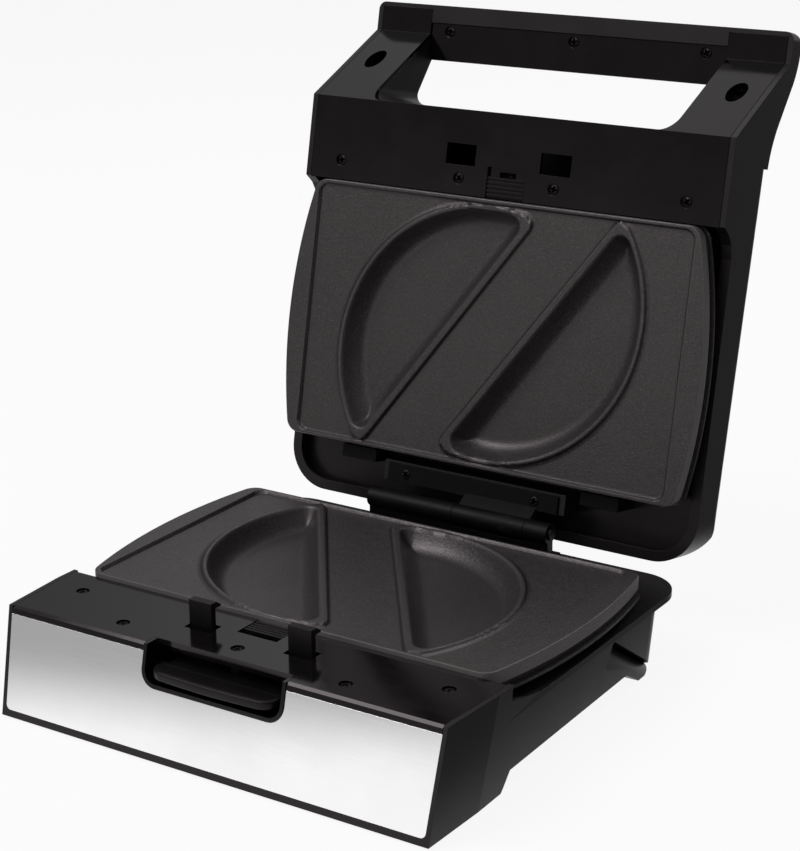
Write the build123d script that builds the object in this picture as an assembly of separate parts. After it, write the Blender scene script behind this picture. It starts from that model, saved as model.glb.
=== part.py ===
from build123d import *
import math
import os

# A countertop maker of two half-moon pies: a base and a hinged lid, each with a cast plate.
# Millimetres. The work frame has X = 0 in the middle, Y = 0 at the top front edge of the base and
# Z = 0 at the bottom edge of the base housing. The last section moves the origin under the middle.
# Lid pieces are drawn with the lid closed and turned open by lid_angle about the hinge axis.

# Walls and gaps
wall = 2.5
fit_gap = 0.3               # between pieces that lie side by side
running_gap = 0.05          # radial, between a shaft and its bore
screw_gap = 0.05            # radial, between a screw and its boss
far = 400.0                 # beyond the whole object, for cutting

# Base housing
deck_height = 57.3          # top of the front deck
base_half_width = 138.0     # widest, just behind the deck
front_half_width = 135.0    # at the top front edge
foot_half_width = 132.5     # at the bottom front edge
foot_flare = 1.8            # how much wider the floor is behind its front edge
flare_length = 42.0         # the sides flare out over this depth
front_slope = 13.6          # the front face leans forward by this much
base_rear = 232.0           # rear wall, at deck height
base_rear_foot = 226.0      # rear wall, at the floor
base_rear_half_width = 136.0
rear_foot_half_width = 133.0
base_corner = 20.0
deck_length = 53.0          # front edge to the rear edge of the deck
deck_thickness = 3.0
deck_bevel = 2.6
step_bottom = 48.2          # the sides drop to this height behind the deck
step_y = 54.8
slope_end = 86.0            # where the falling side edge meets the rim
rim_height = 41.0
rim_band = 3.5
rim_side_step = 1.4
rim_half_width = base_half_width - rim_side_step
rim_rear = 250.0
rim_corner = 24.0
rim_ring = 6.0
front_foot_end = 50.0
rear_foot_start = 200.0
belly_height = 9.5          # underside between the feet
belly_start = 58.0
belly_end = 184.0
scoop_start = (170.0, 34.0)     # crease over the rear foot, in (y, z)
scoop_end = (216.0, 4.0)
scoop_depth = 8.5
scoop_width = 15.0
support_x = 60.0            # posts that carry the front of each plate
support_half = 5.0
post_x = 46.0               # bearing posts of the latch shaft
post_half = 3.0

# Plates
parting = 59.9              # the two plates meet at this height
plate_gap = 0.3
plate_front = 53.4
plate_rear = 207.5
plate_front_inset = 10.4    # plate's front corners inside the base's
plate_mid_inset = 1.6
plate_rear_inset = 6.6
plate_front_half = front_half_width - plate_front_inset
plate_mid_half = base_half_width - plate_mid_inset
plate_mid_y = 137.0
plate_rear_half = base_rear_half_width - plate_rear_inset
plate_corner = 6.5
plate_wall_height = 7.6
plate_undercut = 2.4
undercut_height = 3.7
flange_thickness = 1.4
flange_reach = 0.8
field_depth = 2.0
field_side_inset = 13.6
field_half_width = plate_mid_half - field_side_inset
plate_lip = 2.4
field_corner = 6.0
plate_skin = 3.4
catch_half = 7.0
catch_thickness = 2.5
catch_front_gap = 0.6       # behind the plate's front edge
catch_bar = 3.0
tab_x = 81.0
tab_width = 18.0
tab_thickness = 1.6
tab_end = 213.3

# Half-moon cavities
pie_radius = 95.4           # outer edge of the crimping ridge
pie_centre_x = 5.6
pie_centre_y = 130.5
pie_centre_offset_y = 19.3
pie_chord_distance = 24.8   # from the circle's centre to the straight edge
pie_chord_angle = 125.2     # direction of the straight edge, from +X
pie_corner = 7.5
ridge_width = 4.6
bowl_depth = 12.0
bowl_slope_run = 8.5        # how far in the bowl's floor starts
bowl_skin = 2.4

# Hinge
hinge_y = 235.6
hinge_z = 57.9
lid_angle = 101.7
barrel_radius = 5.9
pin_radius = 2.2
pin_head_radius = 3.6
pin_head = 1.4
barrel_left = -62.6
knuckle_seam_1 = -4.8
knuckle_seam_2 = 42.8
barrel_right = 58.0
hinge_leaf = 1.6
upper_leaf_left = -58.5
upper_leaf_right = 56.0
upper_leaf_front = 215.5
upper_leaf_rear = 226.0
upper_leaf_z = 66.4
upper_screw_y = 220.7
lower_leaf_front = 222.0
lower_leaf_rear = 248.0
lower_screw_y = 226.0
web_front = 232.6           # uprights under the fixed knuckles
web_rear = 238.6
web_clearance = 0.8         # below the turning knuckle
hinge_screw_x = (-46.0, 41.0)

# Lid, closed
lid_side_step = 0.7
lid_half_width = base_half_width - lid_side_step
lid_side_wall = 3.2
lid_rim = 79.6
lid_rear = 243.0
lid_corner = 26.0
lid_front_corner = 5.0
lid_shoulder = 7.0
lid_tip_y = -56.5           # front edge of the handle
lid_tip_top = 131.0
handle_peak_y = -47.5
handle_peak = 139.9
handle_back_y = -24.0
handle_back = 132.6
neck_y = -6.0
neck_height = 122.2
lid_top_front = 114.0       # top surface at lid_top_front_y
lid_top_front_y = 20.0
lid_top_rear = 109.0
lid_top_rear_y = 214.0
lid_rear_shoulder = 90.0
lid_ledge = 88.0
frame_height = 65.4         # underside of the lid's front deck
frame_thickness = 2.5
frame_front = 4.2           # where the arms start to rise
handle_height = 127.6       # underside of the handle
handle_crease = -39.0
opening_half_width = 98.5
opening_front = -23.6
opening_corner = 8.0
strip_front = -46.0
strip_recess = 1.2
strip_thickness = 2.4
strip_corner = 6.0
hinge_block_left = -62.0
hinge_block_right = 60.0
inlay_half_width = 112.0
inlay_front = 30.0
inlay_rear = 204.0
inlay_thickness = 0.8
inlay_corner = 12.0
lens_x = 14.0
lens_y = 44.0
lens_radius = 3.5
lens_height = 5.0

# Latch
hook_x = 31.0
hook_width = 14.2
hook_front = 29.2
hook_thickness = 3.6
hook_top = 71.6
nose_reach = 4.6
nose_height = 3.4
latch_shaft_y = 26.6
latch_shaft_z = 44.0
latch_shaft_radius = 2.0
latch_shaft_half = 52.0
yoke_clearance = 2.8        # room for the spring beside the yoke
slot_half_width = 8.2
slot_front = 25.9
slot_rear = 36.0
window_front = 23.8
window_rear = 36.0
window_half_width = 9.8
pocket_half_width = 43.8
pocket_bottom = 36.0
pocket_corner = 9.0
pocket_lip = 2.0
pocket_lip_proud = 0.5
pocket_depth = 13.5
pocket_edge_y = 8.0         # the deck's edge is set back here
paddle_half_width = 38.0
paddle_top = 45.4
paddle_thickness = 3.6
paddle_front = -7.6
paddle_side_y = 1.5
paddle_back = 6.5
paddle_corner = 6.0

# Release sliders
slider_half_width = 12.4
slider_recess_front = 35.0
slider_front = 40.6
slider_recess_depth = 2.2
slider_stem_half = 5.0
stem_setback = 3.0
rib_count = 5
rib_height = 0.8
tongue_end = 57.2
tongue_thickness = 1.4
tongue_z = 44.9
slider_spring_drop = 6.9    # axis of the spring below the deck
slider_spring_radius = 1.9
slider_spring_wire = 0.7
peg_half = 3.0
peg_thickness = 1.8
peg_setback = 4.2           # rear face of the peg behind the latch shaft

# Screws
screw_recess_radius = 3.65
screw_recess_depth = 1.2
screw_head_radius = 2.9
screw_head_height = 0.9
screw_shank_radius = 1.5
screw_length = 9.0
strip_screw_length = 6.0
boss_radius = 4.0
deck_screw_places = [(-114.3, 34.5), (114.3, 34.5), (-69.0, 13.4), (69.0, 13.4), (0, 19.0)]
lid_screw_places = [(-113.0, 41.3), (113.0, 41.3), (-31.1, 43.5), (31.1, 43.5)]
strip_screw_x = (-85.2, 0, 85.2)
strip_screw_y = -41.3
arm_screw_places = [(-118.9, -20.3), (118.9, -20.3)]
arm_hole_radius = 5.6
arm_tube_wall = 1.6
arm_seat_z = 118.0

# Steel front panel
panel_thickness = 0.8
panel_side = 2.4
panel_top = 4.0
panel_bottom = 3.6
panel_corner = 3.0

# Trays, heating elements and clips
tray_side_inset = 19.8
tray_half_width = plate_mid_half - tray_side_inset
tray_front = 63.4
tray_rear = 200.6
tray_flange = 4.0
tray_sheet = 0.8
tray_depth = 14.0
heater_radius = 3.2
heater_z = 41.7
heater_half_width = 92.0
heater_front = 80.0
heater_rear = 186.0
heater_bend = 26.0
heater_leg_x = 14.0
heater_leg_below = 2.5      # how far the legs pass through the tray
clip_front = 210.0
clip_rear = 217.5
clip_width = 24.0
clip_top = 52.0
clip_sheet = 1.5
clip_slot_height = 3.4
thermostat_place = (40.0, 130.0)
thermostat_radius = 8.0
thermostat_height = 4.0
fuse_radius = 2.2
fuse_ends = (-30.0, -8.0)
fuse_y = 150.0

# Underside cover, feet, gland and terminal block
cover_half_width = 96.0
cover_front = 74.0
cover_rear = 170.0
cover_lip = 5.0
cover_lip_height = 2.0
cover_screw_inset = 4.5
foot_pad_radius = 7.0
foot_pad_height = 1.6
foot_pad_recess = 0.6
foot_pad_x = 112.0
foot_pad_front = 15.0
foot_pad_rear = 213.0
gland_x = -88.0
gland_z = 22.0
gland_radius = 6.0
gland_bore = 3.6
gland_length = 9.0
gland_collar = 2.0
gland_grooves = 3
terminal_left = -70.0
terminal_width = 30.0
terminal_front = 203.0
terminal_depth = 12.0
terminal_height = 12.0

# Heights and places that follow from the sizes above
deck_under = deck_height - deck_thickness
ledge_under = rim_height - wall
cross_wall_rear = deck_length - 0.2
cross_wall_front = cross_wall_rear - wall
plate_top = parting - plate_gap / 2
plate_wall_bottom = plate_top - plate_wall_height
plate_flange_top = plate_wall_bottom - undercut_height
plate_bottom = plate_flange_top - flange_thickness
ledge_mirror = 2 * parting - lid_ledge
upper_surface = 2 * parting - frame_height
inner_half_width = lid_half_width - lid_side_wall
frame_half_width = inner_half_width - fit_gap
frame_top = frame_height + frame_thickness
strip_z = handle_height + strip_recess
lid_slope = (lid_top_rear - lid_top_front) / (lid_top_rear_y - lid_top_front_y)
nodes = {}
lid_nodes = set()


def box(x0, x1, y0, y1, z0, z1):
    return Pos((x0 + x1) / 2, (y0 + y1) / 2, (z0 + z1) / 2) * Box(x1 - x0, y1 - y0, z1 - z0)


def rod_z(x, y, z0, z1, radius):
    return Pos(x, y, (z0 + z1) / 2) * Cylinder(radius, z1 - z0)


def rod_x(x0, x1, y, z, radius):
    return Pos((x0 + x1) / 2, y, z) * Rot(0, 90, 0) * Cylinder(radius, x1 - x0)


def rod_y(x, y0, y1, z, radius):
    return Pos(x, (y0 + y1) / 2, z) * Rot(90, 0, 0) * Cylinder(radius, y1 - y0)


def side_extrude(face, x0, x1):
    # A face drawn in (y, z), extruded along X
    return extrude(Plane.YZ.offset(x0) * face, x1 - x0)


def side_prism(points, x0, x1):
    return side_extrude(make_face(Polyline(*points, close=True)), x0, x1)


def front_prism(sketch, y0, y1):
    # A face drawn in (x, z), extruded along Y
    return extrude(Plane.XZ.offset(-y1) * sketch, y1 - y0)


def plan_prism(sketch, z0, z1):
    return extrude(Pos(0, 0, z0) * sketch, z1 - z0)


def rounded_plan(front_half, side_half, rear_half, flare_end, front, rear, corner):
    # Plan outline, flared behind the front edge, with rounded rear corners
    outline = Polygon(
        (-front_half, front), (front_half, front), (side_half, flare_end), (rear_half, rear),
        (-rear_half, rear), (-side_half, flare_end), align=None)
    return fillet(outline.vertices().group_by(Axis.Y)[-1], corner)


def tongue_plan(half, front, rear, corner):
    # Rectangle with its two rear corners rounded
    outline = Polygon((-half, front), (half, front), (half, rear), (-half, rear), align=None)
    return fillet(outline.vertices().group_by(Axis.Y)[-1], corner)


def open_lid(piece):
    # From the closed place to the open one
    return Pos(0, hinge_y, hinge_z) * Rot(-lid_angle, 0, 0) * Pos(0, -hinge_y, -hinge_z) * piece


def mirrored_up(piece):
    # The lid's copy of a base piece, about the parting plane
    return mirror(piece, about=Plane.XY.offset(parting))


def keep(name, piece, on_lid=False):
    solids = piece if isinstance(piece, list) else [piece]
    if on_lid:
        solids = [open_lid(one) for one in solids]
        lid_nodes.add(name)
    nodes[name] = solids


# Screws
def screw_solid(length):
    # Head down to its seat at z = 0, shank below, cross recess in the head
    head = rod_z(0, 0, 0, screw_head_height, screw_head_radius)
    head = chamfer(head.edges().group_by(Axis.Z)[-1], screw_head_height * 0.4)
    shank = rod_z(0, 0, -length, 0, screw_shank_radius)
    arm = screw_head_radius * 0.62
    slot = screw_head_radius * 0.13
    cross_floor = screw_head_height * 0.3
    cross = box(-arm, arm, -slot, slot, cross_floor, screw_head_height)
    cross += box(-slot, slot, -arm, arm, cross_floor, screw_head_height)
    return head + shank - cross


def screws(places, seat, downward=False, length=screw_length):
    # Heads up on their seat, or heads down under it
    turn = Rot(180, 0, 0) if downward else Rot(0, 0, 0)
    return [Pos(x, y, seat) * turn * screw_solid(length) for x, y in places]


def boss(x, y, z0, z1):
    return rod_z(x, y, z0, z1, boss_radius)


def bore(x, y, z0, z1):
    return rod_z(x, y, z0, z1, screw_shank_radius + screw_gap)


def screw_cut(x, y, surface, inward):
    # Recess and through hole from a surface; inward is -1 for a top surface, +1 for an underside
    floor = surface + inward * screw_recess_depth
    recess = rod_z(x, y, min(surface, floor), max(surface, floor), screw_recess_radius)
    end = surface + inward * screw_length
    return recess + bore(x, y, min(surface, end), max(surface, end))


# Half-moon outlines
def half_moon(inset, side):
    # side -1 is the left cavity; the right one is the same, turned half way round
    along = Vector(math.cos(math.radians(pie_chord_angle)), math.sin(math.radians(pie_chord_angle)))
    outward = Vector(-along.Y, along.X)
    centre = Vector(-pie_centre_x, pie_centre_y + pie_centre_offset_y)
    radius = pie_radius - inset
    foot = centre + outward * (pie_chord_distance + inset)
    half_chord = math.sqrt(radius ** 2 - (pie_chord_distance + inset) ** 2)
    start = foot - along * half_chord
    end = foot + along * half_chord
    outline = make_face([Line(start, end), ThreePointArc(end, centre + outward * radius, start)])
    outline = fillet(outline.vertices(), max(pie_corner - inset * 0.35, 2.5))
    if side > 0:
        outline = Pos(0, pie_centre_y, 0) * Rot(0, 0, 180) * Pos(0, -pie_centre_y, 0) * outline
    return outline


def plate_outline(grow=0.0):
    front = plate_front - grow
    rear = plate_rear + grow
    right = ThreePointArc(
        (plate_front_half + grow, front), (plate_mid_half + grow, plate_mid_y),
        (plate_rear_half + grow, rear))
    left = ThreePointArc(
        (-plate_rear_half - grow, rear), (-plate_mid_half - grow, plate_mid_y),
        (-plate_front_half - grow, front))
    closing = [Line(right @ 1, left @ 0), Line(left @ 1, right @ 0)]
    return fillet(make_face([right, closing[0], left, closing[1]]).vertices(), plate_corner + grow)


# Cast plate, drawn as the lower one with its face up
def plate_catch():
    # A hook under the front edge, which the slider's tongue holds down
    front = plate_front + catch_front_gap
    bar_front = tongue_end + fit_gap + 0.9
    hook = box(-catch_half, catch_half, front, bar_front + catch_bar,
               tongue_z - fit_gap - catch_thickness, tongue_z - fit_gap)
    hook += box(-catch_half, catch_half, bar_front, bar_front + catch_bar,
                tongue_z - fit_gap - catch_thickness, plate_bottom + 1)
    return hook


def plate_solid():
    field = plate_top - field_depth
    body = plan_prism(plate_outline(), plate_wall_bottom, plate_top)
    body += plan_prism(plate_outline(-plate_undercut), plate_flange_top, plate_wall_bottom)
    flange = plan_prism(plate_outline(flange_reach), plate_bottom, plate_flange_top)
    body += flange & box(-far, far, plate_front, far, 0, far)
    middle_y = (plate_front + plate_rear) / 2
    length = plate_rear - plate_front
    underside = RectangleRounded(
        2 * (field_half_width - plate_undercut), length - 6 * plate_lip, field_corner)
    body -= plan_prism(Pos(0, middle_y) * underside, plate_bottom, field - plate_skin)
    recess = Pos(0, middle_y) * RectangleRounded(2 * field_half_width, length - 2 * plate_lip, field_corner)
    body -= plan_prism(recess - half_moon(0, -1) - half_moon(0, 1), field, plate_top)
    floor = plate_top - bowl_depth
    for side in (-1, 1):
        body += loft([
            Pos(0, 0, field - plate_skin) * half_moon(ridge_width - bowl_skin, side),
            Pos(0, 0, floor - bowl_skin) * half_moon(ridge_width + bowl_slope_run - bowl_skin, side)],
            ruled=True)
    for side in (-1, 1):
        body -= loft([
            Pos(0, 0, plate_top) * half_moon(ridge_width, side),
            Pos(0, 0, floor) * half_moon(ridge_width + bowl_slope_run, side)], ruled=True)
    for side in (-1, 1):
        middle = side * tab_x
        body += box(middle - tab_width / 2, middle + tab_width / 2, plate_rear - 3, tab_end,
                    plate_bottom, plate_bottom + tab_thickness)
    return body + plate_catch()


# Base housing
def face_y(z):
    # The sloping front face
    return -front_slope * (deck_height - z) / deck_height


def rear_wall_y(z):
    return base_rear_foot + (base_rear - base_rear_foot) * z / deck_height


def base_plan(grow, at_deck):
    # Outer plan at the floor or at deck height, grown outwards
    if at_deck:
        return rounded_plan(
            front_half_width + grow, base_half_width + grow, base_rear_half_width + grow,
            flare_length, -grow, base_rear + grow, base_corner + grow)
    return rounded_plan(
        foot_half_width + grow, foot_half_width + foot_flare + grow, rear_foot_half_width + grow,
        flare_length - front_slope, -front_slope - grow, base_rear_foot + grow, base_corner + grow)


def base_form(grow=0.0):
    return loft([base_plan(grow, False), Pos(0, 0, deck_height) * base_plan(grow, True)], ruled=True)


def rim_plan(grow=0.0):
    half = rim_half_width + grow
    return rounded_plan(half, half, half, deck_length + 9, deck_length - wall - grow, rim_rear + grow,
                        rim_corner + grow)


def pocket_outline(inset):
    half = pocket_half_width - inset
    low = pocket_bottom + inset
    shape = Polygon((-half, low), (half, low), (half, deck_height), (-half, deck_height), align=None)
    return fillet(shape.vertices().group_by(Axis.Y)[0], pocket_corner - inset)


def side_scoop(side, inward=0.0):
    # A finger scoop in the side wall: its floor curves in towards the crease over the rear foot.
    # Moved inward, it leaves a wall of that thickness behind the scoop.
    dy = scoop_end[0] - scoop_start[0]
    dz = scoop_end[1] - scoop_start[1]
    run = math.hypot(dy, dz)
    along = Vector(0, dy / run, dz / run)
    across = Vector(0, dz / run, -dy / run)
    radius = (scoop_width ** 2 + scoop_depth ** 2) / (2 * scoop_depth)
    surface = side * (rear_foot_half_width + 1.6 - inward)
    start = Vector(surface, scoop_start[0], scoop_start[1]) - along * 6 - across * inward
    deep = Vector(-side * scoop_depth, 0, 0)
    out = Vector(side * 8, 0, 0)
    lip = across * scoop_width
    angle = math.acos(1 - scoop_depth / radius) / 2
    arc_mid = lip * (1 - math.sin(angle) * radius / scoop_width)
    arc_mid += Vector(-side * radius * (1 - math.cos(angle)), 0, 0)
    profile = make_face([
        Line(start + deep, start + out), Line(start + out, start + lip + out),
        Line(start + lip + out, start + lip), ThreePointArc(start + lip, start + arc_mid, start + deep)])
    return extrude(profile, run + 26, dir=along)


def cover_plan(grow):
    return box(-cover_half_width - grow, cover_half_width + grow, cover_front - grow, cover_rear + grow,
               -far, far)


def cover_screw_places():
    x = cover_half_width - cover_screw_inset
    rows = (cover_front + cover_screw_inset, cover_rear - cover_screw_inset)
    return [(side * x, y) for side in (-1, 1) for y in rows]


def foot_pad_places():
    return [(side * foot_pad_x, y) for side in (-1, 1) for y in (foot_pad_front, foot_pad_rear)]


def tray_hole():
    grow = fit_gap
    return box(-tray_half_width - grow, tray_half_width + grow, tray_front - grow, tray_rear + grow, -far, far)


def tongue_slot():
    grow = 0.5
    return box(-slider_stem_half - grow, slider_stem_half + grow, cross_wall_front - 1, cross_wall_rear + 1,
               tongue_z - grow, tongue_z + tongue_thickness + grow)


def steel_panel_solid(depth, shrink):
    # Sheet on the front face, from below the deck's bevel to just above the floor
    low = panel_bottom + shrink
    high = deck_height - panel_top - shrink
    low_half = foot_half_width - panel_side - shrink
    high_half = front_half_width - panel_side - shrink
    slope = math.atan2(front_slope, deck_height)
    stretch = 1 / math.cos(slope)
    plane = Plane(origin=(0, -front_slope, 0), x_dir=(1, 0, 0),
                  z_dir=(0, -math.cos(slope), math.sin(slope)))
    outline = Polygon((-low_half, low * stretch), (low_half, low * stretch), (high_half, high * stretch),
                      (-high_half, high * stretch), align=None)
    outline = fillet(outline.vertices().group_by(Axis.Y)[0], panel_corner)
    return extrude(plane * outline, -depth)


def base_shell():
    body = base_form()
    body -= side_prism([
        (step_y, far), (step_y, step_bottom), (step_y + 5, step_bottom - 0.6),
        (step_y + 15, (step_bottom + rim_height) / 2), (slope_end, rim_height + 0.6),
        (slope_end + 14, rim_height), (far, rim_height), (far, far)], -far, far)
    body -= side_prism([
        (front_foot_end, -5), (front_foot_end, 0), (front_foot_end + 2.5, 2.6),
        (belly_start, belly_height), (belly_end, belly_height), (rear_foot_start - 2, 1.6),
        (rear_foot_start, 0), (rear_foot_start, -5)], -far, far)
    for side in (-1, 1):
        body -= side_scoop(side)
    inner = base_form(-wall)
    hollow = inner & side_prism([
        (-far, wall), (front_foot_end - 1.5, wall), (belly_start - 1.5, belly_height + wall),
        (belly_end + 1.5, belly_height + wall), (rear_foot_start + 0.8, wall), (far, wall),
        (far, far), (-far, far)], -far, far)
    for side in (-1, 1):
        hollow -= side_scoop(side, wall)
    body -= hollow & box(-far, far, -far, cross_wall_front, -far, far)
    body -= hollow & box(-far, far, cross_wall_front - 1, far, -far, ledge_under)
    body -= inner & box(-far, far, cross_wall_front - 1, cross_wall_rear + 1, deck_under, far)
    body -= inner & box(-far, far, cross_wall_rear, far, rim_height, far)
    rim = plan_prism(rim_plan(), rim_height - rim_band, rim_height)
    rim -= plan_prism(rim_plan(-rim_ring), rim_height - rim_band, ledge_under)
    body += rim & box(-far, far, cross_wall_rear - 1, far, -far, far)
    return body - (tray_hole() & box(-far, far, -far, far, ledge_under - 1, far))


def base_housing_solid():
    body = base_shell()
    # Seat of the front deck, hollow for the steel panel and for the latch pocket
    half = front_half_width - wall
    body -= box(-half, half, -5, 3.6, deck_height - panel_top + 0.2, far)
    body -= steel_panel_solid(panel_thickness + fit_gap / 10, 0)
    body -= front_prism(pocket_outline(-fit_gap), -far, 6)
    for x, y in deck_screw_places:
        body += boss(x, y, wall, deck_under)
        body -= bore(x, y, deck_under - screw_length, deck_under)
    for side in (-1, 1):
        middle = side * post_x
        body += box(middle - post_half, middle + post_half, latch_shaft_y - 4, latch_shaft_y + 4,
                    wall - 0.5, latch_shaft_z + 4)
        body -= rod_x(middle - post_half, middle + post_half, latch_shaft_y, latch_shaft_z,
                      latch_shaft_radius + screw_gap)
        middle = side * support_x
        body += box(middle - support_half, middle + support_half, cross_wall_rear - 0.5, plate_front + 5,
                    ledge_under, plate_bottom - fit_gap / 2)
    body -= tongue_slot()
    # Underside opening with the lip that its cover is screwed to
    seat = belly_height + wall
    body -= cover_plan(fit_gap) & box(-far, far, -far, far, 0, seat)
    lip = (cover_plan(cover_lip) - cover_plan(-2 * cover_screw_inset)) & box(
        -far, far, -far, far, seat, seat + cover_lip_height)
    body += lip
    for x, y in cover_screw_places():
        body += boss(x, y, seat, seat + screw_length)
        body -= bore(x, y, seat, seat + screw_length)
    # Hinge screws, cord gland and foot pads
    outer = base_form()
    for x in hinge_screw_x:
        body += boss(x, lower_screw_y, ledge_under - screw_length, ledge_under) & outer
        body -= bore(x, lower_screw_y, ledge_under - screw_length, rim_height)
    body -= rod_y(gland_x, base_rear_foot - 6, base_rear + 3, gland_z, gland_radius + screw_gap)
    for x, y in foot_pad_places():
        body -= rod_z(x, y, -1, foot_pad_recess, foot_pad_radius + fit_gap / 2)
    return body


# Front deck, with the bevel that runs down the front face
def hook_slots(half, front, rear, z0, z1):
    left = box(-hook_x - half, -hook_x + half, front, rear, z0, z1)
    return left + box(hook_x - half, hook_x + half, front, rear, z0, z1)


def slider_cuts(surface):
    # Recess for the thumb pad and the slot for its stem, in a deck whose top is at surface
    cut = box(-slider_half_width, slider_half_width, slider_recess_front, deck_length + 1,
              surface - slider_recess_depth, surface + 1)
    slot_half = slider_stem_half + fit_gap
    cut += box(-slot_half, slot_half, slider_recess_front + 2.4, cross_wall_front,
               surface - deck_thickness - 1, surface)
    return cut


def spring_peg(surface, seat):
    # A peg under the deck that the slider's spring pushes against
    rear = latch_shaft_y + peg_setback
    axis = surface - slider_spring_drop
    return box(-peg_half, peg_half, rear - peg_thickness, rear, axis - slider_spring_radius - 0.5, seat)


def front_deck_solid():
    low = deck_height - panel_top + 0.2
    bevel_z = deck_height - deck_bevel / 2
    body = side_prism([
        (face_y(low), low), (face_y(bevel_z), bevel_z), (deck_bevel / 2, deck_height),
        (deck_length, deck_height), (deck_length, deck_under), (wall + 1, deck_under), (wall + 0.4, low)],
        -far, far)
    front_half = front_half_width - wall - fit_gap
    trim = plan_prism(base_plan(-wall - fit_gap, True), 0, far)
    body &= trim + box(-front_half, front_half, -5, 5, 0, far)
    notch_half = pocket_half_width + fit_gap
    body -= box(-notch_half, notch_half, -5, pocket_edge_y, 0, far)
    for x, y in deck_screw_places:
        body -= screw_cut(x, y, deck_height, -1)
    body -= hook_slots(slot_half_width, slot_front, slot_rear, deck_under - 1, far)
    body -= slider_cuts(deck_height)
    return body + spring_peg(deck_height, deck_under)


# Latch pocket: a lip on the front face with walls running back into the base
def latch_pocket_solid():
    body = front_prism(pocket_outline(0), -front_slope, pocket_depth)
    body -= front_prism(pocket_outline(pocket_lip), -front_slope, pocket_depth - wall)
    inner_half = pocket_half_width - pocket_lip
    body -= box(-inner_half, inner_half, -front_slope, pocket_depth - wall, pocket_bottom + pocket_corner, far)
    window = paddle_half_width + 1
    body -= box(-window, window, 0, pocket_depth + 1, paddle_top - paddle_thickness - 3.4, paddle_top + 5)
    lip_foot = face_y(0) - pocket_lip_proud
    lip_head = -pocket_lip_proud
    body -= side_prism([(lip_foot - 60, 0), (lip_foot, 0), (lip_head, deck_height),
                        (lip_head - 60, deck_height)], -far, far)
    return body - box(-far, far, pocket_edge_y - fit_gap, far, deck_under - fit_gap, far)


# Latch lever: paddle, arm, yoke and the two hooks
def latch_lever_solid():
    low = paddle_top - paddle_thickness
    half = paddle_half_width
    paddle = make_face([
        Line((-half, paddle_back), (-half, paddle_side_y)),
        ThreePointArc((-half, paddle_side_y), (0, paddle_front), (half, paddle_side_y)),
        Line((half, paddle_side_y), (half, paddle_back)), Line((half, paddle_back), (-half, paddle_back))])
    paddle = fillet(paddle.vertices().group_by(Axis.Y)[-2], paddle_corner)
    body = plan_prism(paddle, low, paddle_top)
    body = fillet(body.edges().group_by(Axis.Z)[-1].filter_by(GeomType.CIRCLE), 0.8)
    yoke_half = post_x - post_half - yoke_clearance
    yoke_front = latch_shaft_y - latch_shaft_radius - 1.4
    hook_rear = hook_front + hook_thickness
    body += box(-half + 3, half - 3, paddle_back - 1, yoke_front + 1, low, paddle_top)
    body += box(-yoke_half, yoke_half, yoke_front, latch_shaft_y + 4, low - 1.4, latch_shaft_z + 3.4)
    for side in (-1, 1):
        x0 = side * hook_x - hook_width / 2
        x1 = side * hook_x + hook_width / 2
        nose_low = hook_top - nose_height
        body += box(x0, x1, hook_front, hook_rear, low - 1.4, hook_top)
        body += side_prism([
            (hook_rear, nose_low), (hook_rear + nose_reach, nose_low), (hook_rear + nose_reach, nose_low + 0.9),
            (hook_rear + 1.0, hook_top), (hook_rear - 0.5, hook_top), (hook_rear - 0.5, nose_low)], x0, x1)
    body -= rod_x(-far, far, latch_shaft_y, latch_shaft_z, latch_shaft_radius + running_gap)
    boss_x, boss_y = deck_screw_places[-1]
    return body - rod_z(boss_x, boss_y, 0, far, boss_radius + 1.0)


def latch_spring_solid():
    # Torsion spring between the yoke and the left bearing post
    start = -post_x + post_half + 0.2
    end = -post_x + post_half + yoke_clearance - 0.4
    ring = rod_x(start, end, latch_shaft_y, latch_shaft_z, latch_shaft_radius + 1.5)
    return ring - rod_x(start, end, latch_shaft_y, latch_shaft_z, latch_shaft_radius + 0.2)


# Release sliders, drawn under a deck whose top is at surface
def slider_solid(surface):
    top = surface - fit_gap
    seat = surface - slider_recess_depth + fit_gap / 2
    half = slider_half_width - fit_gap
    rear = deck_length - fit_gap
    body = box(-half, half, slider_front, rear, seat, top - rib_height)
    pitch = (rear - slider_front) / rib_count
    for i in range(rib_count):
        y = slider_front + pitch * i
        body += box(-half, half, y, y + pitch * 0.62, seat, top)
    stem_front = slider_front + stem_setback
    stem_rear = cross_wall_front - 2.0
    under = surface - deck_thickness - fit_gap
    body += box(-slider_stem_half, slider_stem_half, stem_front, stem_rear, tongue_z, seat + 0.2)
    body += box(-slider_stem_half - 3, slider_stem_half + 3, stem_front, stem_rear, under - 1.6, under)
    body += box(-slider_stem_half, slider_stem_half, stem_front, tongue_end, tongue_z,
                tongue_z + tongue_thickness)
    return body


def slider_spring_solid(surface):
    front = latch_shaft_y + peg_setback + 0.1
    rear = slider_front + stem_setback - 0.1
    z = surface - slider_spring_drop
    return rod_y(0, front, rear, z, slider_spring_radius) - rod_y(
        0, front, rear, z, slider_spring_radius - slider_spring_wire)


# Trays, heating elements and clips
def tray_solid(flange_z):
    # Open upwards; its flange lies on flange_z
    half = tray_half_width
    floor = flange_z - tray_depth
    body = box(-half - tray_flange, half + tray_flange, tray_front - tray_flange, tray_rear + tray_flange,
               flange_z, flange_z + tray_sheet)
    body += box(-half, half, tray_front, tray_rear, floor, flange_z)
    body -= box(-half + tray_sheet, half - tray_sheet, tray_front + tray_sheet, tray_rear - tray_sheet,
                floor + tray_sheet, far)
    for side in (-1, 1):
        body -= rod_z(side * heater_leg_x, heater_rear, 0, far, heater_radius + running_gap)
    return body


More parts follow.
